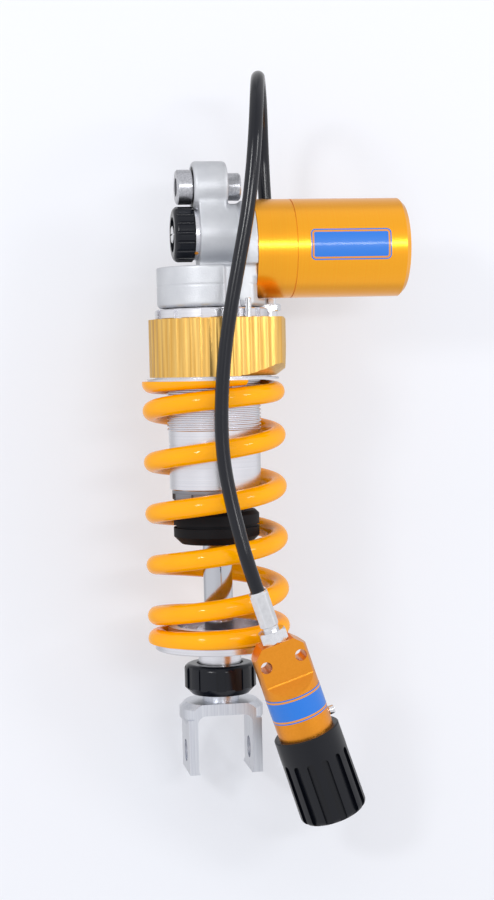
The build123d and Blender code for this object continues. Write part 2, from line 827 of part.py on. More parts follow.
rebound_shims = shim_pack(stack_bottom, shim_small_radius, shim_large_radius)
rebound_shims.label = "rebound_shims"
export_step(rebound_shims, "parts/rebound_shims.step")

compression_shims = shim_pack(piston_top, shim_large_radius, shim_small_radius)
compression_shims.label = "compression_shims"
export_step(compression_shims, "parts/compression_shims.step")

with BuildPart() as damper_piston:
    disc(level(piston_bottom), tube_bore - piston_clearance, piston_height, bore=shaft_step_radius + seat_gap)
    disc(level(piston_bottom + (piston_height - band_height) / 2), tube_bore + overrun, band_height,
         bore=tube_bore - 2 * piston_clearance - break_edge, mode=Mode.SUBTRACT)
    with BuildSketch(level(piston_bottom - overrun)) as ports:
        with PolarLocations((shaft_step_radius + tube_bore) / 2, piston_ports):
            Circle(piston_port_radius)
    extrude(ports.sketch, amount=piston_height + 2 * overrun, mode=Mode.SUBTRACT)
damper_piston.part.label = "damper_piston"
export_step(damper_piston.part, "parts/damper_piston.step")

with BuildPart() as piston_band:
    disc(level(piston_bottom + (piston_height - band_height) / 2 + seat_gap), tube_bore - running_gap,
         band_height - 2 * seat_gap, bore=tube_bore - 2 * piston_clearance - break_edge + seat_gap)
piston_band.part.label = "piston_band"
export_step(piston_band.part, "parts/piston_band.step")

with BuildPart() as piston_nut:
    hexagon(level(nut_bottom), nut_across_flats, nut_height)
    disc(level(nut_bottom), shaft_step_radius + seat_gap, nut_height, mode=Mode.SUBTRACT)
piston_nut.part.label = "piston_nut"
export_step(piston_nut.part, "parts/piston_nut.step")

# Bump rubber, which grips the shaft just below the guide
with BuildPart() as bump_rubber:
    disc(level(bump_top - bump_height), bump_radius, bump_height)
    chamfer(bump_rubber.faces().sort_by(Axis.Z)[0].edges(), bump_chamfer)
    chamfer(bump_rubber.faces().sort_by(Axis.Z)[-1].edges(), bump_chamfer / 2)
    disc(level(bump_top - bump_height / 2), bump_radius + overrun, bump_groove,
         bore=bump_radius - bump_groove, mode=Mode.SUBTRACT)
    disc(level(bump_top - bump_height - overrun), shaft_radius + running_gap, bump_height + 2 * overrun,
         mode=Mode.SUBTRACT)
bump_rubber.part.label = "bump_rubber"
export_step(bump_rubber.part, "parts/bump_rubber.step")

# Lower spring seat: a collar inside the last coil, the plate, and a neck on the shaft
with BuildPart() as lower_seat:
    disc(level(seat_bottom), seat_radius, seat_thickness)
    chamfer(lower_seat.edges().filter_by(GeomType.CIRCLE), break_edge)
    disc(level(spring_bottom), seat_collar_radius, seat_collar_height)
    chamfer(lower_seat.faces().sort_by(Axis.Z)[-1].edges(), break_edge)
    disc(level(spring_bottom), seat_collar_radius - seat_collar_wall, seat_collar_height + overrun,
         mode=Mode.SUBTRACT)
    disc(level(seat_bottom), seat_neck_radius, -seat_neck_height)
    disc(level(seat_bottom - seat_neck_height - overrun), shaft_radius + seat_gap,
         seat_neck_height + seat_thickness + 2 * overrun, mode=Mode.SUBTRACT)
lower_seat.part.label = "lower_seat"
export_step(lower_seat.part, "parts/lower_seat.step")

# Rebound adjuster: the knob turns on the clevis's neck and lifts a rod through a cam and a cross pin
with BuildPart() as rebound_knob:
    disc(level(knob_bottom), knob_radius, knob_height)
    chamfer(rebound_knob.faces().sort_by(Axis.Z)[0].edges(), knob_chamfer)
    fillet(rebound_knob.faces().sort_by(Axis.Z)[-1].edges(), knob_round)
    disc(level(knob_top - knob_dish_depth), seat_neck_radius + knob_dish_gap, knob_dish_depth + overrun,
         mode=Mode.SUBTRACT)
    with BuildSketch(level(knob_bottom - overrun)) as grooves:
        with PolarLocations(knob_radius, knob_flutes, start_angle=knob_flute_turn):
            Rectangle(2 * knob_flute_depth, knob_flute_width)
    extrude(grooves.sketch, amount=knob_height + 2 * overrun, mode=Mode.SUBTRACT)
    disc(level(knob_bottom - overrun), neck_radius + running_gap, knob_height + 2 * overrun,
         mode=Mode.SUBTRACT)
    disc(level(knob_bottom + cam_floor), cam_radius, cross_slot_rise + 2 * (cross_pin_radius + cam_gap),
         mode=Mode.SUBTRACT)
rebound_knob.part.label = "rebound_knob"
export_step(rebound_knob.part, "parts/rebound_knob.step")

with BuildPart() as rebound_rod:
    disc(level(cross_pin_height), rod_radius, shaft_top - nut_height - cross_pin_height)
    chamfer(rebound_rod.faces().sort_by(Axis.Z)[-1].edges(), rod_radius / 2)
    disc(across(-cam_radius + loose_gap, cross_pin_height), cross_pin_radius, 2 * (cam_radius - loose_gap))
rebound_rod.part.label = "rebound_rod"
export_step(rebound_rod.part, "parts/rebound_rod.step")

# Clevis: a round crown milled flat front and back, a neck for the knob and two square ears
with BuildPart() as clevis:
    shoulder = pin_height + crown_shoulder
    with BuildSketch(Plane.XZ) as crown:
        with BuildLine():
            Polyline(
                (0, shoulder),
                (fork_width / 2, shoulder),
                (crown_radius, shoulder + crown_taper),
                (crown_radius, crown_top - crown_chamfer),
                (crown_radius - crown_chamfer, crown_top),
                (0, crown_top),
                close=True,
            )
        make_face()
    revolve(crown.sketch, axis=Axis.Z)
    with BuildSketch(Plane.XZ.offset(-clevis_depth)) as ears:
        with BuildLine():
            Polyline(
                (-fork_width / 2, shoulder + crown_taper),
                (-fork_width / 2, pin_height - ear_below_pin),
                (fork_width / 2, pin_height - ear_below_pin),
                (fork_width / 2, shoulder + crown_taper),
                close=True,
            )
        make_face()
    extrude(ears.sketch, amount=2 * clevis_depth)
    with BuildSketch(Plane.XZ.offset(-clevis_depth)) as gap:
        inner = fork_width / 2 - ear_thickness
        with BuildLine():
            Polyline(
                (-inner, pin_height - ear_below_pin - overrun),
                (-inner, fork_floor),
                (inner, fork_floor),
                (inner, pin_height - ear_below_pin - overrun),
                close=True,
            )
        make_face()
        fillet(gap.vertices().group_by(Axis.Z)[-1], fork_fillet)
    extrude(gap.sketch, amount=2 * clevis_depth, mode=Mode.SUBTRACT)
    with BuildSketch(Plane.XY.offset(pin_height - ear_below_pin)) as milled:
        Rectangle(2 * crown_radius, clevis_depth)
    extrude(milled.sketch, amount=crown_top_drop + ear_below_pin, mode=Mode.INTERSECT)
    disc(level(crown_top), neck_radius, knob_above_clevis + knob_height - knob_dish_depth)
    disc(level(shaft_end), shaft_radius + seat_gap, knob_top + overrun - shaft_end, mode=Mode.SUBTRACT)
    with BuildSketch(Plane.YZ) as slot:
        with Locations((0, cross_pin_height + cross_slot_rise / 2)):
            Rectangle(slot_width, cross_slot_rise + slot_width)
    extrude(slot.sketch, amount=neck_radius + overrun, both=True, mode=Mode.SUBTRACT)
    disc(across(-fork_width, pin_height), pin_radius, 2 * fork_width, mode=Mode.SUBTRACT)
clevis.part.label = "clevis"
export_step(clevis.part, "parts/clevis.step")

# Reservoir: the tube, the floating piston with its ring, the end cap, its clip and the gas valve
with BuildPart() as reservoir_tube:
    disc(across(flange_right, -reservoir_drop), reservoir_radius, reservoir_length)
    chamfer(reservoir_tube.faces().sort_by(Axis.X)[-1].edges(), reservoir_chamfer)
    disc(across(flange_right + reservoir_groove_place, -reservoir_drop), reservoir_radius + overrun,
         reservoir_groove, bore=reservoir_radius - reservoir_groove, mode=Mode.SUBTRACT)
    disc(across(flange_right - overrun, -reservoir_drop), reservoir_bore, reservoir_length + 2 * overrun,
         mode=Mode.SUBTRACT)
    clip_left = reservoir_right - cap_recess - clip_width
    disc(across(clip_left, -reservoir_drop), reservoir_bore + clip_width, clip_width, mode=Mode.SUBTRACT)
reservoir_tube.part.label = "reservoir_tube"
export_step(reservoir_tube.part, "parts/reservoir_tube.step")

with BuildPart() as floating_piston:
    disc(across(flange_right + float_place, -reservoir_drop), reservoir_bore - running_gap, float_length)
    disc(across(flange_right + float_place + float_length, -reservoir_drop), reservoir_bore - float_dish / 2,
         -float_dish, mode=Mode.SUBTRACT)
    disc(across(flange_right + float_place + float_length / 3, -reservoir_drop), reservoir_bore + overrun,
         2 * ring_section, bore=reservoir_bore - 2 * ring_section, mode=Mode.SUBTRACT)
floating_piston.part.label = "floating_piston"
export_step(floating_piston.part, "parts/floating_piston.step")

with BuildPart() as float_ring:
    disc(across(flange_right + float_place + float_length / 3 + seat_gap, -reservoir_drop),
         reservoir_bore - running_gap, 2 * (ring_section - seat_gap),
         bore=reservoir_bore - 2 * ring_section + seat_gap)
float_ring.part.label = "float_ring"
export_step(float_ring.part, "parts/float_ring.step")

with BuildPart() as reservoir_cap:
    disc(across(clip_left, -reservoir_drop), reservoir_bore - seat_gap, -cap_length)
    disc(across(clip_left, -reservoir_drop), valve_radius - break_edge, -cap_length - overrun,
         mode=Mode.SUBTRACT)
reservoir_cap.part.label = "reservoir_cap"
export_step(reservoir_cap.part, "parts/reservoir_cap.step")

with BuildPart() as reservoir_clip:
    disc(across(clip_left + seat_gap, -reservoir_drop), reservoir_bore + clip_width - seat_gap,
         clip_width - 2 * seat_gap, bore=reservoir_bore - clip_wall)
    with BuildSketch(across(clip_left, -reservoir_drop + reservoir_bore)) as opening:
        Rectangle(2 * clip_wall, 4 * clip_wall)
    extrude(opening.sketch, amount=clip_width, mode=Mode.SUBTRACT)
reservoir_clip.part.label = "reservoir_clip"
export_step(reservoir_clip.part, "parts/reservoir_clip.step")

with BuildPart() as gas_valve:
    disc(across(clip_left, -reservoir_drop), valve_radius - break_edge - seat_gap, -cap_length)
    disc(across(clip_left, -reservoir_drop), valve_radius, valve_height)
    chamfer(gas_valve.faces().sort_by(Axis.X)[-1].edges(), break_edge)
gas_valve.part.label = "gas_valve"
export_step(gas_valve.part, "parts/gas_valve.step")

# Compression adjuster at the head's left: cartridge, collar, spindle with needle, knob and screw
cartridge_right = -barrel_left + cartridge_length - cartridge_set_back
with BuildPart() as valve_cartridge:
    disc(across(-barrel_left, -adjuster_drop), cartridge_radius - seat_gap,
         cartridge_length - cartridge_set_back, bore=spindle_radius + running_gap)
valve_cartridge.part.label = "valve_cartridge"
export_step(valve_cartridge.part, "parts/valve_cartridge.step")

with BuildPart() as adjuster_collar:
    disc(across(-barrel_left, -adjuster_drop), collar_radius, -collar_width,
         bore=spindle_radius + running_gap)
    chamfer(adjuster_collar.faces().sort_by(Axis.X)[0].edges().sort_by(SortBy.RADIUS)[-1], break_edge)
adjuster_collar.part.label = "adjuster_collar"
export_step(adjuster_collar.part, "parts/adjuster_collar.step")

comp_knob_right = -barrel_left - collar_width - loose_gap / 2
comp_knob_left = comp_knob_right - comp_knob_width
comp_dish_floor = comp_knob_left + comp_dish_depth
with BuildPart() as compression_knob:
    disc(across(comp_knob_left, -adjuster_drop), comp_knob_radius, comp_knob_width)
    fillet(compression_knob.faces().sort_by(Axis.X)[0].edges(), comp_knob_round)
    disc(across(comp_dish_floor, -adjuster_drop), comp_dish_radius, -comp_dish_depth - overrun,
         mode=Mode.SUBTRACT)
    flutes(across(comp_knob_left - overrun, -adjuster_drop), comp_knob_radius + comp_flute_radius / 3,
           comp_flute_radius, comp_flutes, comp_knob_width + 2 * overrun)
    disc(across(comp_knob_left - overrun, -adjuster_drop), spindle_radius + seat_gap,
         comp_knob_width + 2 * overrun, mode=Mode.SUBTRACT)
compression_knob.part.label = "compression_knob"
export_step(compression_knob.part, "parts/compression_knob.step")

with BuildPart() as compression_screw:
    disc(across(comp_dish_floor, -adjuster_drop), comp_screw_radius, -comp_screw_height)
    chamfer(compression_screw.faces().sort_by(Axis.X)[0].edges(), break_edge)
    block(across(comp_dish_floor - comp_screw_height, -adjuster_drop), 2 * comp_screw_radius,
          comp_slot, comp_slot, mode=Mode.SUBTRACT)
compression_screw.part.label = "compression_screw"
export_step(compression_screw.part, "parts/compression_screw.step")

with BuildPart() as compression_spindle:
    disc(across(comp_dish_floor, -adjuster_drop), spindle_radius,
         cartridge_right - needle_length - comp_dish_floor)
compression_spindle.part.label = "compression_spindle"
export_step(compression_spindle.part, "parts/compression_spindle.step")

with BuildPart() as compression_needle:
    needle_left = cartridge_right - needle_length + needle_gap
    disc(across(needle_left, -adjuster_drop), spindle_radius, needle_length / 2)
    disc(across(needle_left + needle_length / 2, -adjuster_drop), needle_radius, needle_length / 2)
    chamfer(compression_needle.faces().sort_by(Axis.X)[-1].edges(), needle_radius / 2)
compression_needle.part.label = "compression_needle"
export_step(compression_needle.part, "parts/compression_needle.step")

# Fitting on the jack's port, the crimps, the bleed screw and the hose
port = Plane(origin=(port_x, port_y, ring_bottom), z_dir=(0, 0, 1))
crimp_bottom = fitting_thread_height + fitting_hex_height + fitting_neck_height
with BuildPart() as hose_fitting:
    disc(port, port_radius, fitting_thread_height)
    disc(port, port_radius, -port_depth / 2)
    hexagon(port.offset(fitting_thread_height), fitting_hex, fitting_hex_height)
    disc(port.offset(fitting_thread_height + fitting_hex_height), fitting_neck_radius, fitting_neck_height)
    disc(port.offset(-port_depth), line_radius, port_depth + crimp_bottom + overrun, mode=Mode.SUBTRACT)
hose_fitting.part.label = "hose_fitting"
export_step(hose_fitting.part, "parts/hose_fitting.step")

with BuildPart() as upper_crimp:
    crimp(Plane(origin=hose_route[0], z_dir=(0, 0, -1)), hose_route[0][2] - ring_bottom - crimp_bottom)
upper_crimp.part.label = "upper_crimp"
export_step(upper_crimp.part, "parts/upper_crimp.step")

bleed_reach = lock_ring_radius + bleed_gap + bleed_radius
bleed_y = -sqrt(bleed_reach**2 - bleed_x**2)
with BuildPart() as bleed_screw:
    disc(Plane(origin=(bleed_x, bleed_y, ring_bottom), z_dir=(0, 0, 1)), bleed_radius, bleed_height)
    chamfer(bleed_screw.faces().sort_by(Axis.Z)[-1].edges(), break_edge)
bleed_screw.part.label = "bleed_screw"
export_step(bleed_screw.part, "parts/bleed_screw.step")


def corner_radii(points):
    """The arc at each corner of the route, which takes a share of the shorter run beside the corner."""
    radii = []
    for before, here, after in zip(points, points[1:], points[2:]):
        first = Vector(*here) - Vector(*before)
        second = Vector(*after) - Vector(*here)
        turn = radians(first.get_angle(second))
        radii.append(corner_share * min(first.length, second.length) / tan(turn / 2))
    return radii


# The remote adjuster's own frame: side is across its flat end, front faces out of it, way runs to the knob
way = Vector(
    sin(radians(lean_right)) * cos(radians(lean_back)),
    sin(radians(lean_back)),
    -cos(radians(lean_right)) * cos(radians(lean_back)),
)
side = Vector(cos(radians(lean_right)), 0, sin(radians(lean_right)))
front = way.cross(side)
remote_end = Vector(remote_x, remote_y, -remote_drop)


def along(distance):
    """A plane across the remote adjuster, this far down from its hose end, facing its knob."""
    return Plane(origin=remote_end + way * distance, x_dir=side, z_dir=way)


lower_crimp_end = remote_nut_height + remote_nut_neck + crimp_length
last_run = (Vector(*hose_route[-1]) - Vector(*hose_route[-2])).length
hose_route[-1] = tuple(remote_end - way * lower_crimp_end)
hose_route[-2] = tuple(remote_end - way * (lower_crimp_end + last_run))
with BuildPart() as hose:
    radii = corner_radii(hose_route)
    with BuildLine() as hose_path:
        FilletPolyline(*hose_route, radius=radii)
    first_run = Vector(*hose_route[1]) - Vector(*hose_route[0])
    with BuildSketch(Plane(origin=hose_route[0], z_dir=first_run)) as section:
        Circle(hose_radius)
    sweep(section.sketch, path=hose_path.wire())
hose.part.label = "hose"
export_step(hose.part, "parts/hose.step")
hose_length = hose_path.wire().length
print("hose radii", [round(r) for r in radii])
print(f"hose length {hose_length:.1f}, volume over section times length",
      round(hose.part.volume / (pi * hose_radius**2 * hose_length), 4))

# Crimp and nut at the remote adjuster's end of the hose
with BuildPart() as lower_crimp:
    crimp(along(-lower_crimp_end), crimp_length)
lower_crimp.part.label = "lower_crimp"
export_step(lower_crimp.part, "parts/lower_crimp.step")

with BuildPart() as hose_nut:
    disc(along(-remote_nut_height - remote_nut_neck), remote_nut_neck_radius, remote_nut_neck)
    hexagon(along(-remote_nut_height), remote_nut, remote_nut_height, turn=30)
hose_nut.part.label = "hose_nut"
export_step(hose_nut.part, "parts/hose_nut.step")

# Remote adjuster's body: a round bar with a flat drilled end, a ramp back up to the round, and a bore
half_thickness = remote_thickness / 2
with BuildPart() as remote_body:
    disc(along(0), remote_radius, remote_length)
    with BuildSketch(Plane(origin=remote_end, x_dir=front, z_dir=side)) as flats:
        for face in (-1, 1):
            with BuildLine():
                Polyline(
                    (face * half_thickness, -overrun),
                    (face * half_thickness, remote_flat_length),
                    (face * (remote_radius + break_edge), remote_flat_length + remote_ramp),
                    (face * (remote_radius + overrun), remote_flat_length + remote_ramp),
                    (face * (remote_radius + overrun), -overrun),
                    close=True,
                )
            make_face()
        fillet(flats.vertices().group_by(Axis.Y)[1], remote_ramp_fillet)
    extrude(flats.sketch, amount=remote_radius + overrun, both=True, mode=Mode.SUBTRACT)
    with BuildSketch(Plane(origin=remote_end, x_dir=side, z_dir=-front)) as corners:
        for face in (-1, 1):
            with BuildLine():
                Polyline(
                    (face * (remote_radius - remote_corner), -overrun),
                    (face * (remote_radius - remote_corner), 0),
                    (face * remote_radius, remote_corner),
                    (face * (remote_radius + overrun), remote_corner),
                    (face * (remote_radius + overrun), -overrun),
                    close=True,
                )
            make_face()
    extrude(corners.sketch, amount=remote_radius + overrun, both=True, mode=Mode.SUBTRACT)
    with BuildSketch(Plane(origin=remote_end + way * remote_hole_drop, x_dir=side, z_dir=-front)) as holes:
        with GridLocations(remote_hole_spacing, 0, 2, 1):
            Circle(remote_hole_radius)
    extrude(holes.sketch, amount=remote_radius, both=True, mode=Mode.SUBTRACT)
    disc(along(remote_length - remote_bore_length), remote_bore, remote_bore_length + overrun,
         mode=Mode.SUBTRACT)
    disc(along(-overrun), line_radius, remote_length, mode=Mode.SUBTRACT)
    disc(Plane(origin=remote_end + way * (remote_length - remote_screw_up), z_dir=side).offset(
        remote_radius - remote_screw_grip), remote_screw_shank + seat_gap, remote_screw_grip + overrun,
        mode=Mode.SUBTRACT)
remote_body.part.label = "remote_body"
export_step(remote_body.part, "parts/remote_body.step")

with BuildPart() as remote_screw:
    screw_seat = Plane(origin=remote_end + way * (remote_length - remote_screw_up), z_dir=side)
    disc(screw_seat.offset(remote_radius), remote_screw_radius, remote_screw_head)
    chamfer(remote_screw.edges().filter_by(GeomType.CIRCLE), break_edge / 2)
    disc(screw_seat.offset(remote_radius), remote_screw_shank, -remote_screw_grip)
remote_screw.part.label = "remote_screw"
export_step(remote_screw.part, "parts/remote_screw.step")

# Remote piston: slides in the body's bore, pushed by the knob's spindle through a threaded stem
piston_start = remote_length - remote_piston_length - loose_gap
with BuildPart() as remote_piston:
    disc(along(piston_start), remote_bore - running_gap, remote_piston_length)
    disc(along(piston_start), remote_stem_radius, remote_piston_length + remote_stem_length)
    disc(along(piston_start + remote_piston_length / 2), spindle_thread_radius + running_gap,
         remote_piston_length + remote_stem_length, mode=Mode.SUBTRACT)
remote_piston.part.label = "remote_piston"
export_step(remote_piston.part, "parts/remote_piston.step")

# Remote knob: a smooth collar over the body's end, then a grip with round-ended flutes
knob_start = remote_length - remote_knob_overlap
knob_finish = knob_start + remote_knob_length
grip_start = knob_start + remote_knob_collar


def flute_plane(turn):
    """A plane on the floor of one flute, at its upper end: x runs down the knob, z out of it."""
    out = front.rotate(Axis((0, 0, 0), way), turn)
    return Plane(origin=remote_end + way * grip_start + out * (remote_knob_radius - remote_flute_depth),
                 x_dir=way, z_dir=out)


with BuildPart() as remote_knob:
    with BuildSketch(Plane(origin=remote_end, x_dir=side, z_dir=-front)) as profile:
        with BuildLine():
            Polyline(
                (0, knob_start),
                (remote_knob_radius - crimp_chamfer, knob_start),
                (remote_knob_radius, knob_start + crimp_chamfer),
                (remote_knob_radius + remote_knob_taper, knob_finish),
                (0, knob_finish),
                close=True,
            )
        make_face()
        fillet(profile.vertices().sort_by(Axis.X)[-1], remote_knob_round)
    revolve(profile.sketch, axis=Axis(remote_end, way))
    turns = [remote_flute_turn + 360 * n / remote_flutes for n in range(remote_flutes)]
    with BuildSketch(*[flute_plane(turn) for turn in turns]) as grooves:
        with Locations((remote_flute_radius, 0)):
            Circle(remote_flute_radius)
        with Locations((remote_flute_radius + remote_knob_length / 2, 0)):
            Rectangle(remote_knob_length, 2 * remote_flute_radius)
    extrude(grooves.sketch, amount=remote_flute_depth + remote_knob_taper + overrun, mode=Mode.SUBTRACT)
    disc(along(knob_start - overrun), remote_radius + running_gap, remote_knob_overlap + loose_gap + overrun,
         mode=Mode.SUBTRACT)
    disc(along(remote_length), remote_knob_radius - remote_knob_wall,
         knob_finish - remote_knob_end - remote_length, mode=Mode.SUBTRACT)
remote_knob.part.label = "remote_knob"
export_step(remote_knob.part, "parts/remote_knob.step")

with BuildPart() as remote_spindle:
    spindle_start = piston_start + remote_piston_length / 2 + loose_gap
    disc(along(spindle_start), spindle_thread_radius, knob_finish - remote_knob_end - spindle_start)
    disc(along(knob_finish - remote_knob_end), remote_stem_radius, -remote_knob_end / 2)
remote_spindle.part.label = "remote_spindle"
export_step(remote_spindle.part, "parts/remote_spindle.step")
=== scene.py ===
# Studio picture of a motorcycle's rear shock absorber with a side reservoir and a remote preload adjuster.
# Lengths are metres, in the frame of the solid model: the origin is the centre of the top eye, +Z runs up
# the shock's axis, and +X along the eye's bolt towards the reservoir.

from math import atan2, ceil, cos, hypot, pi, radians, sin

import bpy
from mathutils import Matrix, Vector
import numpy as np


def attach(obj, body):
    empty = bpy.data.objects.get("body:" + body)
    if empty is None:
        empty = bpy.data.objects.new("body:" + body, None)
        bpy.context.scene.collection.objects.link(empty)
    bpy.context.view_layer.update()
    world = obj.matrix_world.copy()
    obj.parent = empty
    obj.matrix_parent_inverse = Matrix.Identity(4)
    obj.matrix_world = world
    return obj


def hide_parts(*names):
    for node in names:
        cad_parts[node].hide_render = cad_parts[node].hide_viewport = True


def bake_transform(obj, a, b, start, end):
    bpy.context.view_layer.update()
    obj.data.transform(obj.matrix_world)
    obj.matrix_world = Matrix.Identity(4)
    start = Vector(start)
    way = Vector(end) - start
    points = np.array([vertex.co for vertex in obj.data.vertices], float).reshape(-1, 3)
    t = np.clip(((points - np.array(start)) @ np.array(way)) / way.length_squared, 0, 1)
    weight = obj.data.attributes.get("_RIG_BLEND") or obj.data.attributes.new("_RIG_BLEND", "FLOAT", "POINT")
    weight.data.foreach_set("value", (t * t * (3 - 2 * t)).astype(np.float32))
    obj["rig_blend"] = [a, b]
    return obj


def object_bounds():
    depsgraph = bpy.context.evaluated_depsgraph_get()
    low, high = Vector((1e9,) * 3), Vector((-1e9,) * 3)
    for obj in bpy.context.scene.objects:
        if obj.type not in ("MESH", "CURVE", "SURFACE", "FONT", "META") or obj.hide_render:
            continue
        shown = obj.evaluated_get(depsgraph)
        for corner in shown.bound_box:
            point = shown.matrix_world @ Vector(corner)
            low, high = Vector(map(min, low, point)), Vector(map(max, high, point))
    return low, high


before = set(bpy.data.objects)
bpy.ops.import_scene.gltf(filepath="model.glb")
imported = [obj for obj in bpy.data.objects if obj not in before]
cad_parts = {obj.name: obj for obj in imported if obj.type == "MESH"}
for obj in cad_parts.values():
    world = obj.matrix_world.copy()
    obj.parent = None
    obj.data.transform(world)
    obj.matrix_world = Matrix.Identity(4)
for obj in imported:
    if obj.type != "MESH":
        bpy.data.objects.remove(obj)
bpy.ops.object.select_all(action="DESELECT")
cad_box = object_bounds()

MM = 0.001

# Camera, as the photograph was taken
camera_place = Vector((-0.14216, -0.98369, -0.09399))
camera_turn = radians(-9.238)
camera_tilt = radians(90 - 2.852)
camera_roll = radians(-1.347)
focal_length = 72.70

# Studio
wall_gap = 70 * MM               # from the shock's axis to the wall behind it
floor_gap = 90 * MM              # from the lowest point to the floor
stage_size = 6.0
stage_curve = 0.25
curve_steps = 24
backdrop_white = "#F4F4F7"
backdrop_paper = "#BBBEC4"
# Painted glow of the backdrop paper, a little stronger towards the top
backdrop_painted_glow = (0.36, 0.41)     # at the object's bottom and top
# Brightness of the room round the object: from its front (0) by its left, back (0.5) and right to its
# front again (1), and from below (0) to above (1)
side_bands = [
    (0.0, 0.88), (0.14, 1.0), (0.3, 1.0), (0.4, 0.65), (0.5, 0.9),
    (0.6, 0.65), (0.7, 1.0), (0.86, 1.0), (1.0, 0.88),
]
height_bands = [(0.0, 0.95), (0.35, 1.0), (0.6, 1.05), (0.8, 1.0), (1.0, 1.0)]

# Preload hose: its route from crimp to crimp
hose_diameter = 7.4 * MM
hose_steps = 12
hose_bevel = 8
hose_route = [
    (0.0377, 0.0330, -0.0404),
    (0.0377, 0.0330, -0.0220),
    (0.0366, 0.0336, 0.0010),
    (0.0359, 0.0332, 0.0260),
    (0.0338, 0.0226, 0.0472),
    (0.0298, 0.0040, 0.0578),
    (0.0256, -0.0170, 0.0576),
    (0.0218, -0.0354, 0.0466),
    (0.0189, -0.0464, 0.0276),
    (0.0166, -0.0486, 0.0060),
    (0.0134, -0.0489, -0.0170),
    (0.0089, -0.0485, -0.0395),
    (0.0042, -0.0482, -0.0620),
    (0.0003, -0.0480, -0.0840),
    (-0.0022, -0.0481, -0.1060),
    (-0.0034, -0.0485, -0.1280),
    (-0.0026, -0.0496, -0.1485),
    (0.0006, -0.0512, -0.1680),
    (0.0046, -0.0534, -0.1866),
    (0.00817, -0.05502, -0.20072),
    (0.01289, -0.05398, -0.21491),
]

# Coil spring, with closed ends that are ground flat
wire_radius = 5.25 * MM
coil_radius = 33.75 * MM
spring_top = -104.8 * MM
spring_length = 142.6 * MM
top_end_rise = 2.4 * MM          # from the ground face to the wire's centre, at its tip
bottom_end_rise = 3.7 * MM
coil_gap = 0.5 * MM
top_closed_turns = 0.92
bottom_closed_turns = 1.26
blend_turns = 0.35
open_turns = 3.95
top_tip_angle = radians(-69)
seam_turns = 1.572               # where the part that the jack moves ends, at the back
bottom_still_turns = 1.4         # the last turns, which ride whole on the lower seat
steps_per_turn = 72
wire_bevel = 14

# Remote adjuster: the centre of its hose end, and the direction from there to its knob
remote_end = Vector((21.8, -52.0, -241.7)) * MM
lean_right = radians(18.4)
lean_back = radians(4.0)
remote_way = Vector((
    sin(lean_right) * cos(lean_back),
    sin(lean_back),
    -cos(lean_right) * cos(lean_back),
))
remote_side = Vector((cos(lean_right), 0, sin(lean_right)))
remote_front = remote_way.cross(remote_side)

# Head casting: how far its corners are softened, and where most
head_voxel = 0.6 * MM
head_rounds = 3
neck_rounds = 24
neck_left = -6.5 * MM
neck_right = 13.0 * MM
neck_bottom = -46.0 * MM
neck_fade = 3.0 * MM
seam_height = -53.7 * MM         # parting line of the mould, on the round block
seam_half_width = 0.4 * MM
seam_depth = 0.3 * MM
block_radius = 29.5 * MM
head_smooth_angle = radians(60)

# Paint spot on the adjuster's collar, turned down from the front
adjuster_height = -25.5 * MM
collar_radius = 14 * MM
dot_x = -8.6 * MM
dot_turn = radians(-50)
dot_radius = 1.1 * MM
dot_height = 0.12 * MM
dot_sides = 24

# Bare plates of film on the reservoir and on the remote adjuster
film_height = 0.12 * MM          # of a plate's face above the metal
film_depth = 0.3 * MM            # from the face down into the metal
film_edge = 0.7 * MM             # from the rim to the gold line
film_line = 1.0 * MM
film_step = radians(4)
corner_steps = 8
reservoir_height = -33.8 * MM
reservoir_radius = 27 * MM
plate_lengths = (50.9 * MM, 95.1 * MM)
plate_angles = (radians(-17.0), radians(18.8))
plate_corner = 2.6 * MM
remote_radius = 14.9 * MM
band_lengths = (28.0 * MM, 41.5 * MM)
band_angles = (radians(-100), radians(100))
band_corner = 1.5 * MM


def colour(code):
    """The linear colour of an sRGB hex value."""
    channels = [int(code[place:place + 2], 16) / 255 for place in (1, 3, 5)]
    linear = [c / 12.92 if c <= 0.04045 else ((c + 0.055) / 1.055) ** 2.4 for c in channels]
    return (*linear, 1)


def add(tree, kind, inputs=None, **settings):
    """Adds a node. An input is set to its value, or linked if the value is another node's output."""
    node = tree.nodes.new(kind)
    for name, value in settings.items():
        setattr(node, name, value)
    for name, value in (inputs or {}).items():
        if isinstance(value, bpy.types.NodeSocket):
            tree.links.new(value, node.inputs[name])
        else:
            node.inputs[name].default_value = value
    return node


def finish(name, inputs):
    """A material with one surface shader. The inputs may be a function that builds them in its tree."""
    material = bpy.data.materials.new(name)
    material.use_nodes = True
    tree = material.node_tree
    tree.nodes.clear()
    shader = add(tree, "ShaderNodeBsdfPrincipled", inputs(tree))
    add(tree, "ShaderNodeOutputMaterial", {"Surface": shader.outputs["BSDF"]})
    return material


# Finishes


def cast_inputs(tree):
    place = add(tree, "ShaderNodeTexCoord").outputs["Object"]
    # Beads of 0.2 mm leave a skin too fine to show, so its dimples are drawn at 0.8 mm
    grain = add(tree, "ShaderNodeTexNoise", {"Vector": place, "Scale": 1 / (0.8 * MM), "Detail": 3.0})
    cloud = add(tree, "ShaderNodeTexNoise", {"Vector": place, "Scale": 1 / (14 * MM), "Detail": 3.0})
    tone = add(tree, "ShaderNodeMix", {
        "Factor": cloud.outputs["Fac"], "A": colour("#BBBEC4"), "B": colour("#DFE1E4"),
    }, data_type="RGBA")
    bump = add(tree, "ShaderNodeBump", {
        "Height": grain.outputs["Fac"], "Strength": 0.4, "Distance": 0.2 * MM,
    })
    return {
        "Base Color": tone.outputs["Result"],
        "Metallic": 0.6,
        "Roughness": 0.46,
        "Normal": bump.outputs["Normal"],
    }


# Aluminium casting, bead-blasted: a pale, matt silver with a very fine grain and soft reflections
blasted_casting = finish("bead_blasted_cast_aluminium", cast_inputs)


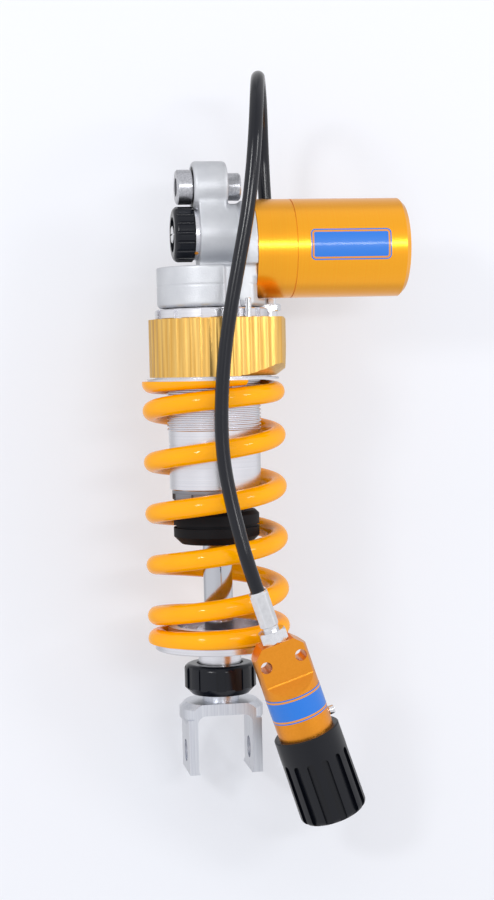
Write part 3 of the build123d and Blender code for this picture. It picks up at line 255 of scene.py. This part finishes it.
def turned_inputs(tree, axis, light, dark, roughness, pitch, depth):
    """Metal turned on a lathe: fine rings round an axis, each a little lighter or darker than the next."""
    place = add(tree, "ShaderNodeTexCoord").outputs["Object"]
    along = add(tree, "ShaderNodeSeparateXYZ", {"Vector": place}).outputs[axis]
    rings = add(tree, "ShaderNodeTexNoise", {
        "W": along, "Scale": 1 / pitch, "Detail": 2.0,
    }, noise_dimensions="1D")
    tone = add(tree, "ShaderNodeMix", {
        "Factor": rings.outputs["Fac"], "A": colour(dark), "B": colour(light),
    }, data_type="RGBA")
    bump = add(tree, "ShaderNodeBump", {
        "Height": rings.outputs["Fac"], "Strength": 0.3, "Distance": depth,
    })
    return {
        "Base Color": tone.outputs["Result"],
        "Metallic": 1.0,
        "Roughness": roughness,
        "Normal": bump.outputs["Normal"],
    }


# Turned aluminium, clear anodised: bright silver rings round the shock's axis
turned_alloy = finish("turned_clear_anodised_aluminium", lambda tree: turned_inputs(
    tree, "Z", "#E8E8EC", "#DADAE0", 0.27, 0.9 * MM, 0.008 * MM))

# The guide under the tube is plain turned aluminium, a little duller; its darker tones are painted shade, for the
# shade under the tube and in its notches
guide_alloy_painted_shade = finish("turned_plain_aluminium_painted_shade", lambda tree: turned_inputs(
    tree, "Z", "#A9AAB0", "#6C6D73", 0.36, 1.0 * MM, 0.02 * MM))

# Turned aluminium, anodised orange gold: deep colour over fine rings round the reservoir's axis. The dye in
# the skin scatters part of the light, and its sealed face adds a faint clear shine
gold_reservoir = finish("turned_gold_anodised_aluminium", lambda tree: {
    **turned_inputs(tree, "X", "#FFB31C", "#FFA80E", 0.28, 0.9 * MM, 0.008 * MM),
    "Metallic": 0.8,
    "Coat Weight": 0.4,
    "Coat Roughness": 0.2,
})


def cloudy_inputs(tree, light, dark, roughness, grain, depth):
    """Metal with an even grain, as blasting, plating or rolling leaves."""
    place = add(tree, "ShaderNodeTexCoord").outputs["Object"]
    cloud = add(tree, "ShaderNodeTexNoise", {"Vector": place, "Scale": 1 / grain, "Detail": 3.0})
    tone = add(tree, "ShaderNodeMix", {
        "Factor": cloud.outputs["Fac"], "A": colour(dark), "B": colour(light),
    }, data_type="RGBA")
    bump = add(tree, "ShaderNodeBump", {
        "Height": cloud.outputs["Fac"], "Strength": 0.3, "Distance": depth,
    })
    return {
        "Base Color": tone.outputs["Result"],
        "Metallic": 1.0,
        "Roughness": roughness,
        "Normal": bump.outputs["Normal"],
    }


# The same on the milled and bead-blasted remote adjuster, where a cloudy grain takes the rings' place
gold_remote = finish("satin_gold_anodised_aluminium", lambda tree: {
    **cloudy_inputs(tree, "#F29D2C", "#E68F1E", 0.36, 1.2 * MM, 0.02 * MM),
    "Coat Weight": 0.3,
    "Coat Roughness": 0.2,
})


def milled_lines_and_painted_streaks_inputs(tree, light, dark, roughness, pitch, depth):
    """Upright lines of lighter and darker tone with a fine relief: the marks that the side of a milling cutter
    leaves, and on the jack's housing painted reflection streaks.
    """
    place = add(tree, "ShaderNodeTexCoord").outputs["Object"]
    stretched = add(tree, "ShaderNodeMapping", {"Vector": place, "Scale": (1.0, 1.0, 0.03)})
    lines = add(tree, "ShaderNodeTexNoise", {
        "Vector": stretched.outputs["Vector"], "Scale": 1 / pitch, "Detail": 2.0,
    })
    contrast = add(tree, "ShaderNodeMapRange", {
        "Value": lines.outputs["Fac"], "From Min": 0.35, "From Max": 0.65,
    })
    tone = add(tree, "ShaderNodeMix", {
        "Factor": contrast.outputs["Result"], "A": colour(dark), "B": colour(light),
    }, data_type="RGBA")
    bump = add(tree, "ShaderNodeBump", {
        "Height": contrast.outputs["Result"], "Strength": 0.3, "Distance": depth,
    })
    return {
        "Base Color": tone.outputs["Result"],
        "Metallic": 1.0,
        "Roughness": roughness,
        "Normal": bump.outputs["Normal"],
    }


# Thin gold anodising on the jack's milled housing, paler than the reservoir. Its upright lines of lighter and
# darker tone are painted reflection streaks; only their fine relief in the bump stands for cutter lines
pale_gold_painted_streaks = finish("pale_gold_anodised_aluminium_painted_streaks", lambda tree: milled_lines_and_painted_streaks_inputs(
    tree, "#F1C672", "#DCAA56", 0.31, 1.4 * MM, 0.02 * MM))

# Milled aluminium, clear anodised: satin silver with faint upright cutter lines
milled_alloy = finish("milled_clear_anodised_aluminium", lambda tree: milled_lines_and_painted_streaks_inputs(
    tree, "#DBDEE4", "#CED1D9", 0.34, 0.9 * MM, 0.008 * MM))

# Hard chrome on ground steel: nearly a mirror, with a cold tint
hard_chrome = finish("hard_chromed_steel", lambda tree: {
    "Base Color": colour("#C4C6CC"), "Metallic": 1.0, "Roughness": 0.12,
})

# Zinc plate on turned and pressed steel: bright, faintly blue and a little cloudy
zinc_plate = finish("zinc_plated_steel", lambda tree: cloudy_inputs(
    tree, "#F0F1F3", "#D8D9DD", 0.2, 3.0 * MM, 0.01 * MM))

# Bushes of sintered steel at the eye: grey, with open pores as dark specks
sintered_steel = finish("sintered_steel", lambda tree: cloudy_inputs(
    tree, "#E9EAEE", "#8A8C93", 0.3, 0.8 * MM, 0.06 * MM))

# Plain brass inside the adjusters
brass = finish("turned_brass", lambda tree: turned_inputs(
    tree, "X", "#D9B36A", "#C7A05A", 0.3, 1.0 * MM, 0.01 * MM))


def paint_inputs(tree):
    place = add(tree, "ShaderNodeTexCoord").outputs["Object"]
    # Powder coat levels to an orange peel of about 2 mm
    peel = add(tree, "ShaderNodeTexNoise", {"Vector": place, "Scale": 1 / (2.0 * MM), "Detail": 1.0})
    cloud = add(tree, "ShaderNodeTexNoise", {"Vector": place, "Scale": 1 / (12 * MM), "Detail": 2.0})
    tone = add(tree, "ShaderNodeMix", {
        "Factor": cloud.outputs["Fac"], "A": colour("#FFA800"), "B": colour("#FFB000"),
    }, data_type="RGBA")
    bump = add(tree, "ShaderNodeBump", {
        "Height": peel.outputs["Fac"], "Strength": 0.1, "Distance": 0.04 * MM,
    })
    return {
        "Base Color": tone.outputs["Result"],
        "Roughness": 0.6,
        "Specular IOR Level": 0.0,
        "Coat Weight": 0.55,
        "Coat Roughness": 0.05,
        "Normal": bump.outputs["Normal"],
    }


# Powder coat on spring steel: an opaque warm yellow under a glossy, slightly rippled skin
spring_coat = finish("yellow_powder_coat", paint_inputs)


def black_inputs(tree, base, roughness, grain, depth):
    """Black plastic or rubber with a fine grain."""
    place = add(tree, "ShaderNodeTexCoord").outputs["Object"]
    speckle = add(tree, "ShaderNodeTexNoise", {"Vector": place, "Scale": 1 / grain, "Detail": 2.0})
    bump = add(tree, "ShaderNodeBump", {
        "Height": speckle.outputs["Fac"], "Strength": 0.25, "Distance": depth,
    })
    return {"Base Color": colour(base), "Roughness": roughness, "Normal": bump.outputs["Normal"]}


# Black anodised aluminium on the two small knobs: blue-black, with satin highlights
black_anodised = finish("black_anodised_aluminium", lambda tree: {
    **black_inputs(tree, "#050914", 0.22, 0.9 * MM, 0.02 * MM), "Specular IOR Level": 0.35,
})

# Glass-filled nylon on the remote knob: black, moulded with a fine spark-eroded grain
moulded_nylon = finish("moulded_black_nylon", lambda tree: {
    **black_inputs(tree, "#060912", 0.3, 0.9 * MM, 0.03 * MM), "Specular IOR Level": 0.35,
})

# Smooth polyamide cover over the hose's braid: slate black and rather glossy
hose_cover = finish("extruded_hose_cover", lambda tree: {
    **black_inputs(tree, "#0B0E17", 0.18, 1.5 * MM, 0.02 * MM), "Specular IOR Level": 0.4,
})

# Nitrile rubber seals: matt black
seal_rubber = finish("moulded_nitrile_rubber", lambda tree: black_inputs(
    tree, "#101013", 0.5, 0.8 * MM, 0.03 * MM))

# Microcellular polyurethane bump rubber: black with a dry, open grain
bump_foam = finish("microcellular_polyurethane", lambda tree: {
    **black_inputs(tree, "#0B0B10", 0.6, 1.2 * MM, 0.1 * MM), "Specular IOR Level": 0.2,
})

# Filled PTFE on bearing surfaces: dull bronze brown
bearing_band = finish("bronze_filled_ptfe", lambda tree: black_inputs(
    tree, "#6B5236", 0.5, 0.8 * MM, 0.02 * MM))

# Printed vinyl film on the plates: blue and gold under a clear gloss
film_blue = finish("blue_vinyl_film", lambda tree: {
    **black_inputs(tree, "#0070D2", 0.4, 4.0 * MM, 0.01 * MM), "Coat Weight": 0.4, "Coat Roughness": 0.1,
})
film_gold = finish("gold_vinyl_film", lambda tree: {
    **black_inputs(tree, "#DE8C00", 0.35, 4.0 * MM, 0.01 * MM), "Coat Weight": 0.4, "Coat Roughness": 0.1,
})

finishes = [
    (blasted_casting, ["shock_head"]),
    (turned_alloy, ["damper_tube", "lock_ring", "preload_piston", "lower_seat", "adjuster_collar",
                    "damper_piston", "floating_piston", "reservoir_cap", "valve_cartridge"]),
    (guide_alloy_painted_shade, ["shaft_guide"]),
    (sintered_steel, ["left_spacer", "right_spacer", "eye_sleeve"]),
    (milled_alloy, ["clevis"]),
    (gold_reservoir, ["reservoir_tube"]),
    (gold_remote, ["remote_body"]),
    (pale_gold_painted_streaks, ["preload_housing"]),
    (hard_chrome, ["damper_shaft", "rebound_rod", "eye_bearing"]),
    (zinc_plate, ["hose_fitting", "upper_crimp", "lower_crimp", "hose_nut", "bleed_screw", "remote_screw",
                  "compression_screw", "piston_nut", "reservoir_clip", "gas_valve", "rebound_shims",
                  "compression_shims"]),
    (brass, ["compression_spindle", "compression_needle", "remote_piston", "remote_spindle"]),
    (black_anodised, ["compression_knob", "rebound_knob"]),
    (moulded_nylon, ["remote_knob"]),
    (seal_rubber, ["eye_seals", "shaft_seal", "dust_wiper", "jack_seal", "float_ring"]),
    (bump_foam, ["bump_rubber"]),
    (bearing_band, ["shaft_bush", "piston_band"]),
    (spring_coat, ["spring"]),
    (hose_cover, ["hose"]),
]
for material, names in finishes:
    for name in names:
        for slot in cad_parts[name].material_slots:
            slot.material = material


# Shaping


def only(obj):
    """Makes this the one selected and active object."""
    bpy.ops.object.select_all(action="DESELECT")
    obj.select_set(True)
    bpy.context.view_layer.objects.active = obj


def settle(obj, name, material=None):
    """Names a finished piece and puts its place into its mesh."""
    only(obj)
    bpy.ops.object.transform_apply(location=True, rotation=True, scale=True)
    obj.name = name
    obj.data.name = name
    if material:
        obj.data.materials.clear()
        obj.data.materials.append(material)
    return obj


def apply(obj, kind, **settings):
    """Adds a modifier and applies it."""
    only(obj)
    modifier = obj.modifiers.new(kind.title(), kind)
    for name, value in settings.items():
        setattr(modifier, name, value)
    bpy.ops.object.modifier_apply(modifier=modifier.name)


def smooth(obj, angle=radians(35)):
    only(obj)
    bpy.ops.object.shade_smooth_by_angle(angle=angle)


# Preload hose


def make_hose():
    """One soft line from the jack's fitting, over the top and down to the remote adjuster."""
    line = bpy.data.curves.new("hose_line", "CURVE")
    line.dimensions = "3D"
    spline = line.splines.new("NURBS")
    spline.points.add(len(hose_route) - 1)
    for point, place in zip(spline.points, hose_route):
        point.co = (*place, 1)
    spline.order_u = 3
    spline.use_endpoint_u = True
    spline.resolution_u = hose_steps
    line.bevel_depth = hose_diameter / 2
    line.bevel_resolution = hose_bevel
    line.use_fill_caps = True
    line.materials.append(hose_cover)
    piece = bpy.data.objects.new("hose_line", line)
    bpy.context.collection.objects.link(piece)
    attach(piece, "shock_body")
    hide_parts("hose")


make_hose()

# Coil spring

closed_pitch = 2 * wire_radius + coil_gap
closed_turns = top_closed_turns + bottom_closed_turns
centre_drop = spring_length + top_end_rise + bottom_end_rise
open_pitch = (centre_drop - (closed_turns + blend_turns) * closed_pitch) / (open_turns + blend_turns)
all_turns = closed_turns + 2 * blend_turns + open_turns
last_open_turn = all_turns - bottom_closed_turns


def coil_height(turns):
    """The height of the wire's centre line, this many turns down from the top tip."""
    drop = closed_pitch * turns
    for place, sign in ((top_closed_turns, 1), (last_open_turn - blend_turns, -1)):
        past = turns - place
        if past > blend_turns:
            drop += sign * (open_pitch - closed_pitch) * (past - blend_turns / 2)
        elif past > 0:
            drop += sign * (open_pitch - closed_pitch) * past**2 / (2 * blend_turns)
    return spring_top + top_end_rise - drop


def coil_point(turns):
    angle = top_tip_angle - 2 * pi * turns
    return coil_radius * cos(angle), coil_radius * sin(angle), coil_height(turns)


def turns_at(place):
    """How many turns down the wire a point of its skin lies."""
    part = (top_tip_angle - atan2(place.y, place.x)) / (2 * pi) % 1
    counts = [part + whole for whole in range(-1, ceil(all_turns) + 1)]
    return min(counts, key=lambda turns: abs(coil_height(turns) - place.z))


def make_coils(name, first, last, ground, lower_body, share):
    """A stretch of the coil between two counts of turns, whose tip is ground flat. The wire stays round
    while it is squeezed, since all points at one place along it move by the same share."""
    line = bpy.data.curves.new(name, "CURVE")
    line.dimensions = "3D"
    spline = line.splines.new("POLY")
    steps = ceil((last - first) * steps_per_turn)
    spline.points.add(steps)
    for n, point in enumerate(spline.points):
        point.co = (*coil_point(first + (last - first) * n / steps), 1)
    line.bevel_depth = wire_radius
    line.bevel_resolution = wire_bevel
    line.use_fill_caps = True
    piece = bpy.data.objects.new(name, line)
    bpy.context.collection.objects.link(piece)
    only(piece)
    bpy.ops.object.convert(target="MESH")
    piece = bpy.context.object
    bpy.ops.object.mode_set(mode="EDIT")
    bpy.ops.mesh.select_all(action="SELECT")
    bpy.ops.mesh.remove_doubles(threshold=0.001 * MM)
    bpy.ops.mesh.bisect(
        plane_co=(0, 0, ground), plane_no=(0, 0, 1), use_fill=True,
        clear_outer=first == 0, clear_inner=first > 0,
    )
    bpy.ops.object.mode_set(mode="OBJECT")
    settle(piece, name, spring_coat)
    smooth(piece)
    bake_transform(piece, "shock_body", lower_body, start=(0, 0, coil_height(first)), end=(0, 0, coil_height(last)))
    for vertex, weight in zip(piece.data.vertices, piece.data.attributes["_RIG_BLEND"].data):
        weight.value = min(max(share(turns_at(vertex.co)), 0), 1)
    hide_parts("spring")


def ram_share(turns):
    """How far the wire follows the jack's ram: wholly on its closed turns, and not at the seam."""
    return (seam_turns - turns) / (seam_turns - top_closed_turns)


def seat_share(turns):
    """How far the wire follows the lower seat: evenly more, down to the turns that lie on it."""
    return (turns - seam_turns) / (all_turns - bottom_still_turns - seam_turns)


make_coils("upper_coils", 0, seam_turns, spring_top, "preload_ram", ram_share)
make_coils("lower_coils", seam_turns, all_turns, spring_top - spring_length, "shaft_set", seat_share)

# Head casting


def make_head():
    """The head as it was cast: its edges are soft, and eye, barrel and web run smoothly into each other."""
    piece = bpy.data.objects.new("soft_head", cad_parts["shock_head"].data.copy())
    bpy.context.collection.objects.link(piece)
    only(piece)
    bpy.ops.object.mode_set(mode="EDIT")
    bpy.ops.mesh.select_all(action="SELECT")
    bpy.ops.mesh.remove_doubles(threshold=0.001 * MM)
    bpy.ops.object.mode_set(mode="OBJECT")
    apply(piece, "REMESH", mode="VOXEL", voxel_size=head_voxel)
    apply(piece, "SMOOTH", factor=0.5, iterations=head_rounds)
    neck = piece.vertex_groups.new(name="neck")
    for vertex in piece.data.vertices:
        place = vertex.co
        inside = min(place.x - neck_left, neck_right - place.x, place.z - neck_bottom) / neck_fade
        neck.add([vertex.index], min(max(inside, 0), 1), "REPLACE")
    apply(piece, "SMOOTH", factor=0.5, iterations=neck_rounds, vertex_group="neck")
    for vertex in piece.data.vertices:
        place = vertex.co
        outside = hypot(place.x, place.y) > block_radius - MM
        if outside and abs(place.z - seam_height) < seam_half_width:
            place.xy *= 1 - seam_depth / block_radius
    settle(piece, "soft_head", blasted_casting)
    smooth(piece, head_smooth_angle)
    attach(piece, "shock_body")
    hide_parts("shock_head")


make_head()


def make_index_dot():
    """The spot of paint on the collar that the knob's clicks are counted from."""
    bpy.ops.mesh.primitive_circle_add(vertices=dot_sides, radius=dot_radius, fill_type="NGON")
    piece = bpy.context.object
    bpy.ops.object.mode_set(mode="EDIT")
    bpy.ops.mesh.select_all(action="SELECT")
    bpy.ops.mesh.extrude_region_move(TRANSFORM_OT_translate={"value": (0, 0, dot_height)})
    bpy.ops.mesh.inset(thickness=dot_height, depth=dot_height / 2)
    bpy.ops.object.mode_set(mode="OBJECT")
    piece.rotation_euler = (pi / 2 - dot_turn, 0, 0)
    out = Vector((0, -cos(dot_turn), sin(dot_turn)))
    piece.location = Vector((dot_x, 0, adjuster_height)) + out * (collar_radius - dot_height / 2)
    settle(piece, "index_dot", film_gold)
    smooth(piece)
    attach(piece, "shock_body")


make_index_dot()

# Plates


def make_plate(name, base, along, front, radius, lengths, angles, corner):
    """A bare blue film with a thin gold line near its edge, wrapped round a cylinder. Its lengths run along
    the cylinder from the base, and its angles round it from the front."""
    (left, right), (bottom, top) = lengths, angles
    bpy.ops.mesh.primitive_plane_add(size=1)
    piece = bpy.context.object
    piece.scale = (right - left, (top - bottom) * radius, 1)
    piece.location = ((left + right) / 2, (bottom + top) / 2 * radius, 0)
    settle(piece, name, film_blue)
    piece.data.materials.append(film_gold)
    bpy.ops.object.mode_set(mode="EDIT")
    bpy.ops.mesh.select_all(action="SELECT")
    bpy.ops.mesh.bevel(offset=corner, segments=corner_steps, affect="VERTICES")
    for thickness, slot in ((film_edge, 1), (film_line, 0)):
        bpy.ops.mesh.select_all(action="DESELECT")
        bpy.ops.object.mode_set(mode="OBJECT")
        max(piece.data.polygons, key=lambda face: face.area).select = True
        bpy.ops.object.mode_set(mode="EDIT")
        bpy.ops.mesh.inset(thickness=thickness)
        piece.active_material_index = slot
        bpy.ops.object.material_slot_assign()
    steps = ceil((top - bottom) / film_step)
    for n in range(1, steps):
        cut = (bottom + (top - bottom) * n / steps) * radius
        bpy.ops.mesh.select_all(action="SELECT")
        bpy.ops.mesh.bisect(plane_co=(0, cut, 0), plane_no=(0, 1, 0))
    bpy.ops.object.mode_set(mode="OBJECT")
    up = front.cross(along)
    for vertex in piece.data.vertices:
        angle = vertex.co.y / radius
        outward = front * cos(angle) + up * sin(angle)
        vertex.co = base + along * vertex.co.x + outward * (radius + film_height)
    apply(piece, "SOLIDIFY", thickness=film_depth, offset=-1)
    smooth(piece)
    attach(piece, "shock_body")


make_plate(
    "reservoir_plate", Vector((0, 0, reservoir_height)), Vector((1, 0, 0)), Vector((0, -1, 0)),
    reservoir_radius, plate_lengths, plate_angles, plate_corner,
)
make_plate(
    "remote_band", remote_end, remote_way, remote_front,
    remote_radius, band_lengths, band_angles, band_corner,
)

# Camera and studio


def aim(obj, place, target):
    """Puts a lamp at a place and turns it to face a point."""
    obj.location = place
    obj.rotation_euler = (Vector(target) - Vector(place)).to_track_quat("-Z", "Y").to_euler()


def make_camera():
    data = bpy.data.cameras.new("photo_camera")
    data.lens = focal_length
    camera = bpy.data.objects.new("photo_camera", data)
    bpy.context.collection.objects.link(camera)
    camera.matrix_world = (
        Matrix.Translation(camera_place)
        @ Matrix.Rotation(camera_turn, 4, "Z")
        @ Matrix.Rotation(camera_tilt, 4, "X")
        @ Matrix.Rotation(camera_roll, 4, "Z")
    )
    bpy.context.scene.camera = camera


def make_stage():
    """A pale floor that curves up into a wall behind the object. Only its front shows, and only to the
    camera, so that it lets the light through from behind."""
    low, high = cad_box
    bpy.ops.mesh.primitive_plane_add(size=stage_size, location=(
        0, wall_gap - stage_size / 2, low[2] - floor_gap,
    ))
    stage = bpy.context.object
    stage.name = "studio_floor"
    bpy.ops.object.transform_apply(location=True)
    for vertex in stage.data.vertices:
        vertex.select = False
    for edge in stage.data.edges:
        edge.select = all(stage.data.vertices[v].co.y > 0 for v in edge.vertices)
    for face in stage.data.polygons:
        face.select = False
    bpy.ops.object.mode_set(mode="EDIT")
    bpy.ops.mesh.select_mode(type="EDGE")
    bpy.ops.mesh.extrude_edges_move(TRANSFORM_OT_translate={"value": (0, 0, stage_size / 2)})
    bpy.ops.object.mode_set(mode="OBJECT")
    for edge in stage.data.edges:
        ends = [stage.data.vertices[v].co for v in edge.vertices]
        edge.select = all(abs(end.y - wall_gap) < MM and abs(end.z - low[2] + floor_gap) < MM for end in ends)
    for face in stage.data.polygons:
        face.select = False
    bpy.ops.object.mode_set(mode="EDIT")
    bpy.ops.mesh.bevel(offset=stage_curve, segments=curve_steps)
    bpy.ops.object.mode_set(mode="OBJECT")
    smooth(stage)
    material = bpy.data.materials.new("matt_paper_backdrop")
    material.use_nodes = True
    tree = material.node_tree
    tree.nodes.clear()
    # Painted glow: the paper gives off a faint light of its own, a little more towards its top, besides what the
    # lamps and the room give it
    place = add(tree, "ShaderNodeTexCoord").outputs["Object"]
    height = add(tree, "ShaderNodeSeparateXYZ", {"Vector": place})
    glow = add(tree, "ShaderNodeMapRange", {
        "Value": height.outputs["Z"], "From Min": low[2], "From Max": high[2],
        "To Min": backdrop_painted_glow[0], "To Max": backdrop_painted_glow[1],
    })
    paper = add(tree, "ShaderNodeBsdfDiffuse", {"Color": colour(backdrop_paper)})
    light = add(tree, "ShaderNodeEmission", {
        "Color": colour(backdrop_white), "Strength": glow.outputs["Result"],
    })
    lit = add(tree, "ShaderNodeAddShader")
    tree.links.new(paper.outputs["BSDF"], lit.inputs[0])
    tree.links.new(light.outputs["Emission"], lit.inputs[1])
    clear = add(tree, "ShaderNodeBsdfTransparent")
    side = add(tree, "ShaderNodeNewGeometry").outputs["Backfacing"]
    both = add(tree, "ShaderNodeMixShader", {"Fac": side})
    tree.links.new(lit.outputs["Shader"], both.inputs[1])
    tree.links.new(clear.outputs["BSDF"], both.inputs[2])
    add(tree, "ShaderNodeOutputMaterial", {"Surface": both.outputs["Shader"]})
    stage.data.materials.append(material)
    stage.visible_diffuse = False
    stage.visible_glossy = False
    stage.visible_transmission = False
    stage.visible_shadow = False


lamps = [
    # name, place, width, height, power
    ("key_lamp", (-0.83, -1.02, 0.35), 0.22, 0.22, 3.6),
    ("front_lamp", (0.30, -1.25, 0.10), 0.50, 0.10, 2.4),
    ("right_lamp", (0.96, -0.89, 0.35), 0.30, 0.30, 2.6),
]


def make_lamps():
    target = (cad_box[0] + cad_box[1]) / 2
    for name, place, width, height, power in lamps:
        data = bpy.data.lights.new(name, "AREA")
        data.shape = "RECTANGLE"
        data.size = width
        data.size_y = height
        data.energy = power
        lamp = bpy.data.objects.new(name, data)
        bpy.context.collection.objects.link(lamp)
        aim(lamp, place, target)


def make_world():
    """Soft light from all round, whose darker bands at the back show as grey bands on metal."""
    world = bpy.data.worlds.new("soft_studio")
    world.use_nodes = True
    tree = world.node_tree
    tree.nodes.clear()
    direction = add(tree, "ShaderNodeTexCoord").outputs["Generated"]
    way = add(tree, "ShaderNodeSeparateXYZ", {"Vector": direction})
    round_angle = add(tree, "ShaderNodeMath", {0: way.outputs["X"], 1: way.outputs["Y"]}, operation="ARCTAN2")
    around = add(tree, "ShaderNodeMapRange", {
        "Value": round_angle.outputs["Value"], "From Min": -pi, "From Max": pi,
    })
    upward = add(tree, "ShaderNodeMapRange", {"Value": way.outputs["Z"], "From Min": -1, "From Max": 1})
    shares = []
    for place, bands in ((around, side_bands), (upward, height_bands)):
        ramp = add(tree, "ShaderNodeValToRGB", {"Fac": place.outputs["Result"]})
        ramp.color_ramp.interpolation = "EASE"
        while len(ramp.color_ramp.elements) < len(bands):
            ramp.color_ramp.elements.new(0.5)
        for element, (position, value) in zip(ramp.color_ramp.elements, bands):
            element.position = position
            element.color = (value, value, value, 1)
        shares.append(ramp.outputs["Color"])
    strength = add(tree, "ShaderNodeMath", {0: shares[0], 1: shares[1]}, operation="MULTIPLY")
    light = add(tree, "ShaderNodeBackground", {
        "Color": colour(backdrop_white), "Strength": strength.outputs["Value"],
    })
    add(tree, "ShaderNodeOutputWorld", {"Surface": light.outputs["Background"]})
    bpy.context.scene.world = world


bpy.context.scene.view_settings.view_transform = "Standard"
make_camera()
make_stage()
make_lamps()
make_world()
